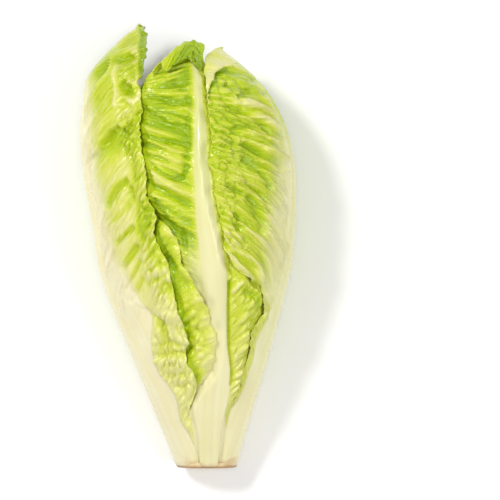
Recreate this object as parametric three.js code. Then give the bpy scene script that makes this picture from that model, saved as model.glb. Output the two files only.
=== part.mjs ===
/**
 * Romaine lettuce heart lying on its back: a cut stem with eleven separate leaves round it, in
 * millimetres.
 *
 * Y runs along the head from the cut butt to the leaf tips, X across it and Z up from the table.
 * Every leaf is described on the "envelope", an oval that swells and closes along the head, by three
 * numbers: the angle round the head's axis (0 to the right, 90 up, 180 to the left, 270 on the
 * table), the distance from the cut, and the depth under the envelope. The leaves are laid from the
 * outside inwards, and each one finds the room that the leaves over it have left, so no two of them
 * meet.
 */
import * as THREE from "three";

// ---- Driving dimensions -------------------------------------------------------------------------
const BLADE = 0.9; // thickness of a leaf's blade
const CLEARANCE = 0.9; // least room between two leaves, measured along the radius
const FLAT_DEPTH = 1.8; // how far the table presses the back leaf's rib flat
const ORIGIN_ALONG = 105; // distance from the cut to the frame's origin, on the flat of the back rib
const ORIGIN_ACROSS = -2; // the flat's middle, from the axis of the base
const LEAF_ROOT = 3.9; // the outer leaves start this far from the cut
const FOOT_HEIGHT = 3; // solid foot of the stem, under the leaves' bases
const CORE_TOP = 48; // the stem's cone ends here, inside the head
const CORE_RADIUS = 5.2; // the cone's radius where it leaves the foot
const HEART_LEAN = 13; // how far the inner leaves' tips lean in over the heart

const radians = THREE.MathUtils.degToRad;
const degrees = THREE.MathUtils.radToDeg;
const clamp = THREE.MathUtils.clamp;
const mix = THREE.MathUtils.lerp;
const bell = (x, width) => Math.exp(-((x / width) ** 2));
const ease = (x, from, to) => THREE.MathUtils.smoothstep(x, from, to);

/** A smooth curve through [place, value] pairs that never swings past them. */
function curve(points) {
  const last = points.length - 1;
  const steps = points.slice(1).map(([x, y], i) => (y - points[i][1]) / (x - points[i][0]));
  const slopes = points.map((_, i) => {
    const before = steps[Math.max(i - 1, 0)];
    const after = steps[Math.min(i, last - 1)];
    return before * after <= 0 ? 0 : (2 * before * after) / (before + after);
  });
  return (x) => {
    if (x <= points[0][0]) return points[0][1];
    if (x >= points[last][0]) return points[last][1];
    let i = 0;
    while (x > points[i + 1][0]) i += 1;
    const span = points[i + 1][0] - points[i][0];
    const t = (x - points[i][0]) / span;
    const rest = 1 - t;
    const low = points[i][1] * rest * rest * (1 + 2 * t) + span * t * rest * rest * slopes[i];
    const high = points[i + 1][1] * t * t * (1 + 2 * rest) - span * t * t * rest * slopes[i + 1];
    return low + high;
  };
}

// ---- The envelope -------------------------------------------------------------------------------
const halfWidth = curve([
  [0, 16.1], [14, 20.7], [37, 28.7], [54, 34.6], [84, 44.6], [98, 48.7], [111, 51.7], [127, 53.3],
  [140, 54.7], [160, 56.2], [180, 54.8], [196, 50.3], [206, 46.2], [214, 39.6], [222, 31], [229, 23],
  [237, 12],
]);
const halfDepth = curve([
  [0, 15], [54, 29], [84, 36], [111, 41], [140, 44], [160, 44.5], [180, 43], [196, 39], [214, 31],
  [229, 20], [237, 12],
]);
const centreX = curve([
  [0, 3.2], [27, 1.7], [54, 0.2], [98, -2.4], [126, -3.1], [153, -5.2], [180, -8.4], [196, -11.5],
  [211, -15.8], [222, -18],
]);
const backRise = curve([[0, 0], [150, 0], [180, 1.5], [200, 5], [214, 9], [237, 20]]);

/** The point at an angle, a distance from the cut and a depth under the envelope. */
function place(angle, along, depth) {
  const turn = radians(angle);
  return new THREE.Vector3(
    centreX(along) + (halfWidth(along) - depth) * Math.cos(turn),
    along,
    backRise(along) + halfDepth(along) + (halfDepth(along) - depth) * Math.sin(turn),
  );
}
const xAt = (angle, along) => centreX(along) + halfWidth(along) * Math.cos(radians(angle));
const degreeLength = (along, depth) =>
  radians(Math.max(5, (halfWidth(along) + halfDepth(along)) / 2 - depth));

/** An angle that follows [distance along the leaf, X] pairs on the upper side of the head. */
function frontLine(points, highest = 240) {
  const line = curve(points);
  return (along) => {
    const level = Math.min(along, highest);
    return degrees(Math.acos(clamp((line(along) - centreX(level)) / halfWidth(level), -1, 1)));
  };
}

/** A sheet that slopes takes more room along the radius than its thickness. */
const slant = (along) => Math.min(2.5, Math.hypot(1, (halfWidth(along + 2) - halfWidth(along - 2)) / 4));

// ---- The map of the room already taken ----------------------------------------------------------
const CELL = 3; // degrees round the head, and millimetres along it
const TURN_CELLS = 360 / CELL;
const ALONG_CELLS = 82;
const REACH = 3; // cells over which a leaf eases itself under another
const taken = new Float64Array(TURN_CELLS * ALONG_CELLS).fill(-50);

const cellAt = (turn, row) =>
  (((turn % TURN_CELLS) + TURN_CELLS) % TURN_CELLS) * ALONG_CELLS + clamp(row, 0, ALONG_CELLS - 1);

/** Passes a window over the map, first round the head (less far at its narrow base) and then along it. */
function sweep(map, combine, most) {
  const steps = (reach) => Array.from({ length: 2 * reach + 1 }, (_, k) => k - reach);
  const turned = map.map((_, cell) => {
    const [turn, row] = [Math.floor(cell / ALONG_CELLS), cell % ALONG_CELLS];
    const reach = Math.min(most, row < 10 ? 1 : row < 18 ? 2 : REACH);
    return combine(steps(reach).map((k) => map[cellAt(turn + k, row)]));
  });
  return turned.map((_, cell) => {
    const [turn, row] = [Math.floor(cell / ALONG_CELLS), cell % ALONG_CELLS];
    return combine(steps(most).map((k) => turned[cellAt(turn, row + k)]));
  });
}
const widest = (values) => Math.max(...values);
const mean = (values) => values.reduce((sum, value) => sum + value, 0) / values.length;

/**
 * Depths at or under a leaf's resting depth and clear of every leaf laid before it: one that eases
 * in gently, and one that stays as far out as it can.
 */
function roomUnder(restingDepth) {
  const needed = taken.map((depth, cell) =>
    Math.max(restingDepth((cell % ALONG_CELLS) * CELL), depth + CLEARANCE),
  );
  const read = (cells) => (angle, along) => {
    const turn = angle / CELL;
    const row = clamp(along / CELL, 0, ALONG_CELLS - 1.001);
    const [i, j] = [Math.floor(turn), Math.floor(row)];
    const near = mix(cells[cellAt(i, j)], cells[cellAt(i, j + 1)], row - j);
    const far = mix(cells[cellAt(i + 1, j)], cells[cellAt(i + 1, j + 1)], row - j);
    return Math.max(mix(near, far, turn - i), restingDepth(along));
  };
  return [REACH, 1].map((reach) => read(sweep(sweep(needed, widest, reach), mean, reach)));
}

// ---- One leaf -----------------------------------------------------------------------------------
const RIB_COLUMNS = [-1, -0.7, 0, 0.7, 1]; // shares of the rib's half width

function growLeaf(leaf) {
  const [eased, close] = roomUnder(leaf.depth);
  const perDegree = (along) => degreeLength(along, leaf.depth(along) + 2);

  /** Everything that is asked of one spot of the leaf. */
  const spot = (angle, along) => {
    const fromRib = (angle - leaf.rib(along)) * perDegree(along);
    const fromLow = Math.max(0, (angle - leaf.low(along)) * perDegree(along));
    const fromHigh = Math.max(0, (leaf.high(along) - angle) * perDegree(along));
    const across = Math.min(1, Math.abs(fromRib) / leaf.ribWidth(along));
    const swell = (1 - across * across) ** 0.8;
    const at = { angle, along, fromRib, fromLow, fromHigh, x: xAt(angle, along) };
    const spare = Math.max(0, eased(angle, along) - close(angle, along));
    const bed = eased(angle, along) - spare * (leaf.lift ? leaf.lift(at) : 0);
    const rest = bed + leaf.ribHeight(along) + leaf.relief(at);
    const [ridge, flesh] = [leaf.ribHeight(along) * swell, leaf.flesh(along) * swell];
    return { rest, sheet: rest - leaf.flare(at), ridge, flesh };
  };

  // The room that this leaf takes is marked for the leaves that come under it.
  for (let row = 0; row < ALONG_CELLS; row += 1) {
    const along = clamp(row * CELL, leaf.root, leaf.tip - 0.5);
    if (Math.abs(along - row * CELL) > CELL) continue;
    const [low, high] = [leaf.low(along), leaf.high(along)];
    for (let turn = Math.floor(low / CELL); turn <= Math.ceil(high / CELL); turn += 1) {
      const here = spot(clamp(turn * CELL, low, high), along);
      const cell = cellAt(turn, row);
      taken[cell] = Math.max(taken[cell], here.rest + (BLADE + here.flesh) * slant(along));
    }
  }

  // Columns run along the leaf: evenly over each half of the blade, and five over the rib.
  const shares = Array.from({ length: leaf.columns }, (_, k) => (k + 1) / leaf.columns);
  const columns = [
    ...shares.toReversed().map((share) => ({ side: -1, share })),
    ...RIB_COLUMNS.map((rib) => ({ side: rib < 0 ? -1 : 1, rib: Math.abs(rib) })),
    ...shares.map((share) => ({ side: 1, share })),
  ];
  const angleOf = ({ side, share, rib }, along) => {
    const middle = leaf.rib(along);
    const reach = Math.abs((side < 0 ? leaf.low(along) : leaf.high(along)) - middle);
    const ribReach = Math.min(leaf.ribWidth(along) / perDegree(along), reach * 0.6);
    return middle + side * (share === undefined ? ribReach * rib : mix(ribReach, reach, share));
  };

  /** A leaf with a hook turns over towards the outside beyond its bend. */
  const point = (column, along) => {
    const angle = angleOf(column, along);
    const bend = leaf.hook ? leaf.hook.bend(xAt(angle, Math.min(along, leaf.hook.level))) : Infinity;
    if (along <= bend) return place(angle, along, spot(angle, along).sheet);
    const turned = Math.min((along - bend) / leaf.hook.radius, radians(leaf.hook.turn));
    const straight = along - bend - turned * leaf.hook.radius;
    const onward = leaf.hook.radius * Math.sin(turned) + straight * Math.cos(turned);
    const outward = leaf.hook.radius * (1 - Math.cos(turned)) + straight * Math.sin(turned);
    const before = place(angle, bend - 2, spot(angle, bend - 2).sheet);
    const crest = place(angle, bend, spot(angle, bend).sheet);
    const heading = Math.atan2(crest.z - before.z, crest.y - before.y);
    crest.y += onward * Math.cos(heading) - outward * Math.sin(heading);
    crest.z += onward * Math.sin(heading) + outward * Math.cos(heading);
    return crest;
  };
  const alongAt = (row) => leaf.tip - (leaf.tip - leaf.root) * (1 - row / leaf.rows) ** 1.3;
  const middleColumn = columns[leaf.columns + 2];
  const rows = Array.from({ length: leaf.rows }, (_, row) =>
    columns.map((column) => point(column, alongAt(row))),
  );
  const pole = point(middleColumn, leaf.tip);

  // The inner face lies one thickness under the sheet, and the rib stands out of the outer face.
  const outer = [];
  const inner = [];
  rows.forEach((line, row) => {
    const beyond = rows[row + 1] ?? line.map(() => pole);
    const before = rows[Math.max(row - 1, 0)];
    line.forEach((here, k) => {
      const across = line[Math.min(k + 1, line.length - 1)].clone().sub(line[Math.max(k - 1, 0)]);
      const normal = beyond[k].clone().sub(before[k]).cross(across).normalize();
      const { ridge, flesh } = spot(angleOf(columns[k], alongAt(row)), alongAt(row));
      const face = here.clone().addScaledVector(normal, ridge);
      outer.push(face.setZ(Math.max(face.z, FLAT_DEPTH)));
      inner.push(here.clone().addScaledVector(normal, -BLADE - flesh));
    });
  });
  const nearPole = (leaf.rows - 1) * columns.length + leaf.columns + 2;
  const poleDepth = inner[nearPole].clone().sub(outer[nearPole]).setLength(BLADE);
  return closedSheet(outer, inner, columns.length, pole, pole.clone().add(poleDepth));
}

/** Joins two faces of points, each in rows that end at a pole, into one closed body. */
function closedSheet(outer, inner, width, outerPole, innerPole) {
  const rowCount = outer.length / width;
  const pole = outer.length;
  const under = pole + 1; // what has to be added to a point's number to reach the inner face
  const triangles = [];
  const both = (a, b, c) => triangles.push(a, b, c, a + under, c + under, b + under);
  const wall = (a, b) => triangles.push(a, b, b + under, a, b + under, a + under);
  for (let row = 0; row < rowCount; row += 1) {
    const start = row * width;
    const last = row === rowCount - 1;
    for (let k = start; k < start + width - 1; k += 1) {
      if (last) {
        both(k, pole, k + 1);
      } else {
        both(k, k + width, k + width + 1);
        both(k, k + width + 1, k + 1);
      }
    }
    wall(last ? pole : start + width, start);
    wall(start + width - 1, last ? pole : start + 2 * width - 1);
  }
  for (let k = 0; k < width - 1; k += 1) wall(k, k + 1);
  const points = [...outer, outerPole, ...inner, innerPole];
  const geometry = new THREE.BufferGeometry();
  const numbers = points.flatMap((v) => v.toArray());
  geometry.setAttribute("position", new THREE.Float32BufferAttribute(numbers, 3));
  geometry.setIndex(triangles);
  geometry.translate(-ORIGIN_ACROSS, -ORIGIN_ALONG, -FLAT_DEPTH);
  return geometry;
}

// ---- Creases and waves --------------------------------------------------------------------------
/** Blade folds that leave the rib on both sides and run up to the margins. */
const folds = (at, amount, spacing, start) =>
  amount *
  (0.5 + 0.5 * Math.sin(((at.along - 0.8 * Math.abs(at.fromRib)) / spacing + start) * 2 * Math.PI)) *
  ease(Math.abs(at.fromRib), 4, 16) *
  ease(at.along, 25, 80);

/** A wave along one margin, fading into the blade. */
const frill = (distance, along, amount, length, start) =>
  amount * (0.5 + 0.5 * Math.sin((along / length + start) * 2 * Math.PI)) * bell(distance, 9);

const flat = (value) => () => value;

/** X of the valley in the left leaf, where its pale ribbed blade turns into the puckered margin. */
const LEFT_CREASE = curve([
  [40, -18], [92, -28.6], [102, -31.3], [119, -35], [158, -38], [176, -46], [220, -44],
]);

/** How far to each side of its rib the front leaf crowns. */
const FRONT_CROWN = curve([[0, 5], [60, 7], [111, 7], [160, 8], [222, 9]]);

// ---- The leaves, from the outside inwards -------------------------------------------------------
const leaves = [
  {
    name: "leaf_back",
    color: 0xc9d98a,
    root: LEAF_ROOT,
    tip: 216,
    rows: 28,
    columns: 5,
    rib: curve([[0, 271], [150, 272], [200, 280], [216, 288]]),
    low: curve([
      [3, 226], [30, 216], [90, 212], [150, 206], [180, 216], [195, 238], [207, 262], [216, 288],
    ]),
    high: curve([
      [3, 318], [30, 324], [90, 330], [140, 334], [172, 336], [186, 332], [205, 314], [216, 288],
    ]),
    depth: flat(0),
    ribWidth: curve([[0, 12], [40, 12], [90, 9], [150, 5], [216, 1.5]]),
    ribHeight: curve([[0, 0.6], [60, 1.8], [120, 2.2], [180, 1.2], [216, 0.4]]),
    flesh: curve([[0, 4], [40, 2.8], [90, 1.2], [150, 0.4], [216, 0]]),
    relief: (at) => folds(at, 1.6, 26, 0.2),
    flare: (at) =>
      frill(at.fromLow, at.along, 2, 27, 0) +
      frill(at.fromHigh, at.along, 1.6, 24, 0.3) +
      8 * bell(at.fromHigh, 8) * bell(at.along - 174, 11),
  },
  {
    name: "leaf_left",
    color: 0xdbe7a0,
    root: LEAF_ROOT,
    tip: 236.5,
    rows: 34,
    columns: 6,
    rib: curve([[0, 158], [40, 163], [80, 172], [130, 178], [200, 180], [228, 172], [236.5, 170]]),
    low: frontLine([
      [3, -1.8], [14, -2.3], [21, -3.4], [32, -6], [40, -3.8], [46, -1.9], [52, -3.4], [57, -6.4],
      [62, -7.5], [68, -4.9], [73, -7.2], [81, -9.5], [92, -13.2], [107, -16], [111, -17.5],
      [117, -21.2], [123, -24], [128, -24], [134, -22.8], [139, -25.8], [145, -29], [154, -28],
      [162, -28.8], [170, -31.3], [186, -31.3], [200, -30], [215, -30], [230, -28.2], [234.5, -27.6],
      [236.5, -29.7],
    ]),
    high: curve([
      [3, 222], [30, 228], [90, 236], [150, 238], [190, 230], [215, 215], [230, 195], [236.5, 170],
    ]),
    depth: flat(0),
    ribWidth: curve([[0, 15], [40, 14], [80, 10], [120, 7], [170, 4], [210, 1.6], [236, 1]]),
    ribHeight: curve([[0, 0.5], [60, 1.5], [120, 2], [180, 1.4], [212, 0.4], [236, 0.2]]),
    flesh: curve([[0, 4.4], [40, 3], [90, 1.4], [150, 0.5], [236, 0]]),
    relief: (at) =>
      folds(at, 1.6, 22, 0.4) +
      2.6 * bell(at.x - LEFT_CREASE(at.along), 7) * ease(at.along, 50, 90) * ease(-at.along, -190, -165),
    flare: (at) =>
      (frill(at.fromLow, at.along, 3, 25, 0.1) + 2 * bell(at.fromLow, 12)) * ease(at.along, 30, 60),
  },
  {
    name: "leaf_right",
    color: 0xdbe7a0,
    root: LEAF_ROOT,
    tip: 224.5,
    rows: 33,
    columns: 6,
    rib: curve([[0, 14], [40, 9], [90, 2], [150, 0], [205, 2], [224.5, 8]]),
    low: curve([
      [3, -38], [30, -46], [90, -58], [150, -62], [190, -54], [210, -38], [220, -15], [224.5, 8],
    ]),
    high: frontLine([
      [3, 11], [14, 12], [31, 15.4], [37, 19], [45, 22.8], [56, 24.9], [64, 27], [72, 29.2],
      [81, 32.9], [87, 36], [92, 36.5], [97, 35], [102, 27], [107, 19.5], [113, 15.4], [124, 12.5],
      [134, 8.5], [141, 6.5], [148, 5], [162, 5.3], [173, 6.1], [181, 5.3], [193, 3.7], [205, 2.6],
      [216.5, 2.8], [222.6, 6], [224.5, 10.5],
    ]),
    depth: flat(0),
    ribWidth: curve([[0, 14], [40, 12], [80, 9.5], [120, 7], [170, 4.2], [210, 1.8], [225, 1]]),
    ribHeight: curve([[0, 0.5], [60, 1.5], [120, 2], [180, 1.4], [212, 0.5], [225, 0.2]]),
    flesh: curve([[0, 4.4], [40, 3], [90, 1.4], [150, 0.5], [225, 0]]),
    relief: (at) => folds(at, 1.6, 21, 0.7),
    flare: (at) =>
      (frill(at.fromHigh, at.along, 2.4, 23, 0.6) + 1.5 * bell(at.fromHigh, 12)) * ease(at.along, 25, 55),
  },
  {
    name: "leaf_left_inner",
    color: 0xcfe08a,
    root: 9,
    tip: 196,
    rows: 28,
    columns: 5,
    rib: curve([[0, 145], [60, 152], [130, 158], [196, 150]]),
    low: frontLine([
      [9, -12], [30, -9], [42, -3], [47, 2.5], [53, 6.8], [63, 9.9], [73, 10.2], [78, 6.9], [86, 5.7],
      [90, 3.2], [95, 0], [105, -5.3], [110, -8.5], [117, -9.5], [123, -11.7], [128, -14.8],
      [131, -19], [134, -26], [140, -33], [150, -38], [175, -42], [190, -50], [196, -54],
    ]),
    high: curve([[9, 200], [60, 210], [120, 212], [170, 195], [190, 170], [196, 150]]),
    depth: flat(0.4),
    ribWidth: curve([[0, 9], [60, 9], [120, 6], [196, 1.5]]),
    ribHeight: curve([[0, 0.5], [60, 1.2], [120, 1.4], [196, 0.3]]),
    flesh: curve([[0, 2.6], [60, 1.6], [120, 0.6], [196, 0]]),
    lift: (at) => 0.5 + 0.5 * bell(at.fromLow, 15) * ease(at.along, 25, 50),
    relief: (at) => folds(at, 1.4, 20, 0.1),
    flare: (at) => frill(at.fromLow, at.along, 1.2, 21, 0.4) * ease(at.along, 40, 60),
  },
  {
    name: "leaf_front",
    color: 0xe4edb2,
    root: LEAF_ROOT,
    tip: 243,
    rows: 38,
    columns: 6,
    rib: frontLine([
      [3, 3.7], [10, 3.9], [34.5, 5], [66, 9.6], [111, 9.4], [140, 4.6], [160, 1.9], [190, 0.2],
      [214, -2.4], [230, -3], [243, -2],
    ], 222),
    low: frontLine([
      [3, 15], [29, 24], [60, 38], [95, 44], [150, 40], [190, 26], [205, 14], [214, 5], [222, 1.8],
      [238, 1.8], [241.5, 1], [243, -2],
    ], 222),
    high: frontLine([
      [3, -8], [30, -16], [60, -26], [95, -36], [130, -44], [170, -42], [192, -38], [200, -31.5],
      [206, -29.5], [210, -25], [216, -22], [226, -20], [234, -14], [240, -7], [243, -2],
    ], 222),
    depth: flat(0),
    ribWidth: curve([
      [0, 7.4], [34, 7], [66, 6.2], [111, 4.9], [159, 3.5], [190, 2], [214, 1], [247, 0.8],
    ]),
    ribHeight: curve([
      [0, 0.5], [34, 1.6], [66, 2.6], [111, 2.8], [160, 2.2], [200, 1.2], [216, 0.6], [247, 0],
    ]),
    flesh: curve([[0, 3.4], [40, 2.2], [90, 1], [150, 0.4], [247, 0]]),
    lift: (at) => 0.75 + 0.25 * bell(at.fromRib, FRONT_CROWN(at.along)),
    relief: (at) => folds(at, 2, 17, 0.5),
    flare: flat(0),
    hook: {
      radius: 2.8,
      turn: 192,
      level: 222,
      bend: curve([[-24, 206], [-21, 210], [-13, 217.5], [-4, 221.5], [2, 219.5]]),
    },
  },
];

/** An inner leaf: even about its midrib, and leaning over the heart at its tip. */
function heartLeaf(name, root, tip, middle, spread, rows) {
  const long = tip - root;
  const opening = curve([
    [root, 0.62], [root + 0.3 * long, 0.85], [root + 0.65 * long, 1], [root + 0.88 * long, 0.76],
    [root + 0.97 * long, 0.4], [tip, 0],
  ]);
  return {
    name,
    color: 0xd6e68c,
    root,
    tip,
    rows,
    columns: 3,
    rib: flat(middle),
    low: (along) => middle - spread * opening(along),
    high: (along) => middle + spread * opening(along),
    depth: flat(1),
    ribWidth: curve([[root, 7], [root + 0.5 * long, 5], [tip, 1.2]]),
    ribHeight: curve([[root, 0.5], [root + 0.4 * long, 1.4], [tip, 0.3]]),
    flesh: curve([[root, 1.5], [root + 0.4 * long, 0.7], [tip, 0]]),
    relief: (at) =>
      folds(at, 1.2, 21, middle / 90) +
      HEART_LEAN * ease(at.along, tip - 0.3 * long, tip) ** 1.5,
    flare: flat(0),
  };
}
leaves.push(
  heartLeaf("heart_back_left", 14, 205, 234, 66, 22),
  heartLeaf("heart_back_right", 18, 209, 312, 66, 22),
  heartLeaf("heart_front_left", 22, 196, 132, 62, 20),
  heartLeaf("heart_front_right", 26, 200, 38, 62, 20),
  heartLeaf("heart_back", 31, 190, 268, 60, 18),
  heartLeaf("heart_front", 48, 166, 84, 56, 16),
);

// ---- The stem -----------------------------------------------------------------------------------
/** A solid foot as wide as the head's base, and a cone that carries the inner leaves. */
function stemGeometry() {
  const sides = 30;
  const levels = [
    [0, 0.955], [0.7, 1], [FOOT_HEIGHT, 0.99],
  ];
  const cone = [[FOOT_HEIGHT, CORE_RADIUS], [14, 4.4], [30, 2.8], [CORE_TOP - 2, 1.4], [CORE_TOP, 0.8]];
  const points = [];
  const ring = (along, across, deep) => {
    for (let k = 0; k < sides; k += 1) {
      const turn = (k / sides) * 2 * Math.PI;
      const wobble = 1 + 0.012 * Math.sin(3 * turn + 0.6) + 0.008 * Math.sin(7 * turn);
      points.push(
        new THREE.Vector3(
          centreX(along) + across * wobble * Math.cos(turn),
          along,
          Math.max(halfDepth(along) + deep * wobble * Math.sin(turn), FLAT_DEPTH),
        ),
      );
    }
  };
  levels.forEach(([along, share]) => ring(along, halfWidth(0) * share, halfDepth(0) * share));
  cone.forEach(([along, radius]) => ring(along, radius, radius));
  const ringCount = levels.length + cone.length;
  const triangles = [];
  for (let level = 0; level < ringCount - 1; level += 1) {
    for (let k = 0; k < sides; k += 1) {
      const a = level * sides + k;
      const b = level * sides + ((k + 1) % sides);
      triangles.push(a, a + sides, b + sides, a, b + sides, b);
    }
  }
  const bottom = points.push(new THREE.Vector3(centreX(0), 0, halfDepth(0))) - 1;
  const top = points.push(new THREE.Vector3(centreX(CORE_TOP), CORE_TOP + 0.4, halfDepth(CORE_TOP))) - 1;
  for (let k = 0; k < sides; k += 1) {
    const next = (k + 1) % sides;
    triangles.push(bottom, k, next);
    triangles.push(top, (ringCount - 1) * sides + next, (ringCount - 1) * sides + k);
  }
  const geometry = new THREE.BufferGeometry();
  const numbers = points.flatMap((v) => v.toArray());
  geometry.setAttribute("position", new THREE.Float32BufferAttribute(numbers, 3));
  geometry.setIndex(triangles);
  geometry.translate(-ORIGIN_ACROSS, -ORIGIN_ALONG, -FLAT_DEPTH);
  return geometry;
}

// ---- The assembly -------------------------------------------------------------------------------
const head = new THREE.Group();
head.name = "romaine_lettuce";

function addPart(name, geometry, color, roughness) {
  const material = new THREE.MeshStandardMaterial({ color, roughness, metalness: 0 });
  material.name = name;
  const mesh = new THREE.Mesh(geometry, material);
  mesh.name = name;
  head.add(mesh);
}

leaves.forEach((leaf) => addPart(leaf.name, growLeaf(leaf), leaf.color, 0.45));
addPart("stem", stemGeometry(), 0xd9cda0, 0.6);

export default head;
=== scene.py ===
# %% [markdown]
# # A romaine lettuce heart
#
# A romaine heart is a short stem with long leaves packed round it. Each leaf has a thick pale rib
# up the middle and a thin blade on each side, which is pleated by its veins and frilled along its
# edge.
#
# This lesson takes the plain solids of the head as a fixed frame and puts a finer leaf in the place
# of each one.

import math
from contextlib import contextmanager
from types import SimpleNamespace

import bpy
import numpy as np
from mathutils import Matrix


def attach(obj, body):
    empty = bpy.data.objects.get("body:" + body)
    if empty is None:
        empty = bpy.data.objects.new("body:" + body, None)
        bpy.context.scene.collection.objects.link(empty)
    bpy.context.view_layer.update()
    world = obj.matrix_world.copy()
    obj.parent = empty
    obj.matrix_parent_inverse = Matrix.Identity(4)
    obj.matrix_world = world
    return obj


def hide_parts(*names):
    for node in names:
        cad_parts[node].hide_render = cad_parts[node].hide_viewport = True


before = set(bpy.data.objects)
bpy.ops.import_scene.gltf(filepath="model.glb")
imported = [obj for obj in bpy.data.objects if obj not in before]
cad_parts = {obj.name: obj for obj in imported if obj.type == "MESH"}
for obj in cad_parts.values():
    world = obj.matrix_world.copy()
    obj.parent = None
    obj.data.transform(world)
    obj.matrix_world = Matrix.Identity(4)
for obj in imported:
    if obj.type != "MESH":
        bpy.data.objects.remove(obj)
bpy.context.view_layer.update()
print("frame:", sorted(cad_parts))

# %% [markdown]
# ## Measures
#
# All shapes are worked out in millimetres from the cut end of the stem, and turned to metres in the
# frame at the end. A leaf could be sculpted by hand, but eleven leaves that must fit inside each
# other are easier to describe with numbers: the angle round the head, the distance from the cut and
# the depth under the head's outline.

# %% Measures
MM = 0.001
ORIGIN = np.array([-2.0, 105.0, 1.8])  # the frame's origin, from the cut's axis at table height
BLADE = 0.9  # thickness of a blade
CLEARANCE = 0.4  # least room between two leaves, before margins are pressed down
FLAT_DEPTH = 1.8  # how far the back rib is pressed flat
LEAF_ROOT = 3.9  # the outer leaves start here in the solids
LEAF_FOOT = 0.8  # and lower here, so that they grow out of the stem
HEART_LEAN = 13.0  # how far the inner leaves lean over the heart
FINE = 1.0  # share of the full number of rows and columns


def curve(*points):
    """A smooth curve through (place, value) pairs that never swings past them."""
    x, y = np.array(points, float).T
    steps = np.diff(y) / np.diff(x)
    before = np.concatenate([steps[:1], steps])
    after = np.concatenate([steps, steps[-1:]])
    product = before * after
    slopes = np.where(product <= 0, 0.0, 2 * product / np.where(product <= 0, 1.0, before + after))

    def value(at):
        at = np.clip(np.asarray(at, float), x[0], x[-1])
        i = np.clip(np.searchsorted(x, at, side="right") - 1, 0, len(x) - 2)
        span = x[i + 1] - x[i]
        t = (at - x[i]) / span
        rest = 1 - t
        low = y[i] * rest**2 * (1 + 2 * t) + span * t * rest**2 * slopes[i]
        high = y[i + 1] * t**2 * (1 + 2 * rest) - span * t**2 * rest * slopes[i + 1]
        return low + high

    return value


def bell(x, width):
    """1 at nothing, dying away over the width on both sides."""
    return np.exp(-((x / width) ** 2))


def ease(x, start, end):
    """0 up to the start and 1 from the end on, with a soft step between."""
    t = np.clip((x - start) / (end - start), 0, 1)
    return t * t * (3 - 2 * t)


def fade(x, start, end):
    """1 up to the start and 0 from the end on."""
    return ease(-x, -end, -start)


# %% [markdown]
# ## The head's outline
#
# Seen from above the head swells from the cut to its belly and closes towards the tips, which lean
# to one side. Four curves along the head hold all of that: half the width, half the depth, the
# sideways lean and the rise of the back off the table.

# %% Outline of the head
half_width = curve(
    (0, 16.1), (14, 20.7), (37, 28.7), (54, 34.6), (84, 44.6), (98, 48.7), (111, 51.7), (127, 53.3),
    (140, 54.7), (160, 56.2), (180, 54.8), (196, 50.3), (206, 46.2), (214, 39.6), (222, 31),
    (229, 23), (237, 12),
)
half_depth = curve(
    (0, 15), (54, 29), (84, 36), (111, 41), (140, 44), (160, 44.5), (180, 43), (196, 39), (214, 31),
    (229, 20), (237, 12),
)
centre_x = curve(
    (0, 3.2), (27, 1.7), (54, 0.2), (98, -2.4), (126, -3.1), (153, -5.2), (180, -8.4), (196, -11.5),
    (211, -15.8), (222, -18),
)
back_rise = curve((0, 0), (150, 0), (180, 1.5), (200, 5), (214, 9), (237, 20))


def place(angle, along, depth):
    """Points at an angle, a distance from the cut and a depth under the outline."""
    turn = np.radians(angle)
    x = centre_x(along) + (half_width(along) - depth) * np.cos(turn)
    z = back_rise(along) + half_depth(along) + (half_depth(along) - depth) * np.sin(turn)
    return np.stack([x, along, z], -1)


def x_at(angle, along):
    return centre_x(along) + half_width(along) * np.cos(np.radians(angle))


def front_line(*points, highest=240):
    """An angle that follows (distance along the leaf, X) pairs on the upper side of the head."""
    line = curve(*points)

    def angle(along):
        level = np.minimum(along, highest)
        share = (line(along) - centre_x(level)) / half_width(level)
        return np.degrees(np.arccos(np.clip(share, -1, 1)))

    return angle


BELLY = 160  # the widest place, from the cut
belly = [round(2 * float(half(BELLY))) for half in (half_width, half_depth)]
print("belly:", belly[0], "mm wide,", belly[1], "mm deep")

# %% [markdown]
# ## Room for every leaf
#
# The leaves are laid from the outside inwards. A map round the head keeps how deep the leaves so
# far reach. Each new leaf slides in under them. Three readings of the map are kept: one that is
# widened and smoothed, so that a leaf dips gently, one that stays close to the leaf above, and the
# closest, which tells where a crumple has room. A leaf may use a share of the first two.

# %% Map of the room taken
CELL = 1.5  # degrees round the head, and millimetres along it
TURN_CELLS = 240
ALONG_CELLS = 164
GENTLE = 6  # cells over which a leaf eases itself under another
CLOSE = 1
TURN_REACHES = [(2, 0, 20), (4, 20, 36), (GENTLE, 36, ALONG_CELLS)]  # cells, first and last row
MOST_SLANT = 2.5
EMPTY = -50.0  # far outside the outline
taken = np.full((TURN_CELLS, ALONG_CELLS), EMPTY)


def sweep(room, combine, most):
    """Passes a window over the map: round the head, less far at its base, and then along it."""
    rows = np.arange(ALONG_CELLS)
    turned = np.empty_like(room)
    for reach, first, last in TURN_REACHES:
        reach = min(reach, most)
        windows = [np.roll(room, -k, axis=0) for k in range(-reach, reach + 1)]
        turned[:, first:last] = combine(np.stack(windows), axis=0)[:, first:last]
    shifted = [turned[:, np.clip(rows + k, 0, ALONG_CELLS - 1)] for k in range(-most, most + 1)]
    return combine(np.stack(shifted), axis=0)


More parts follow.
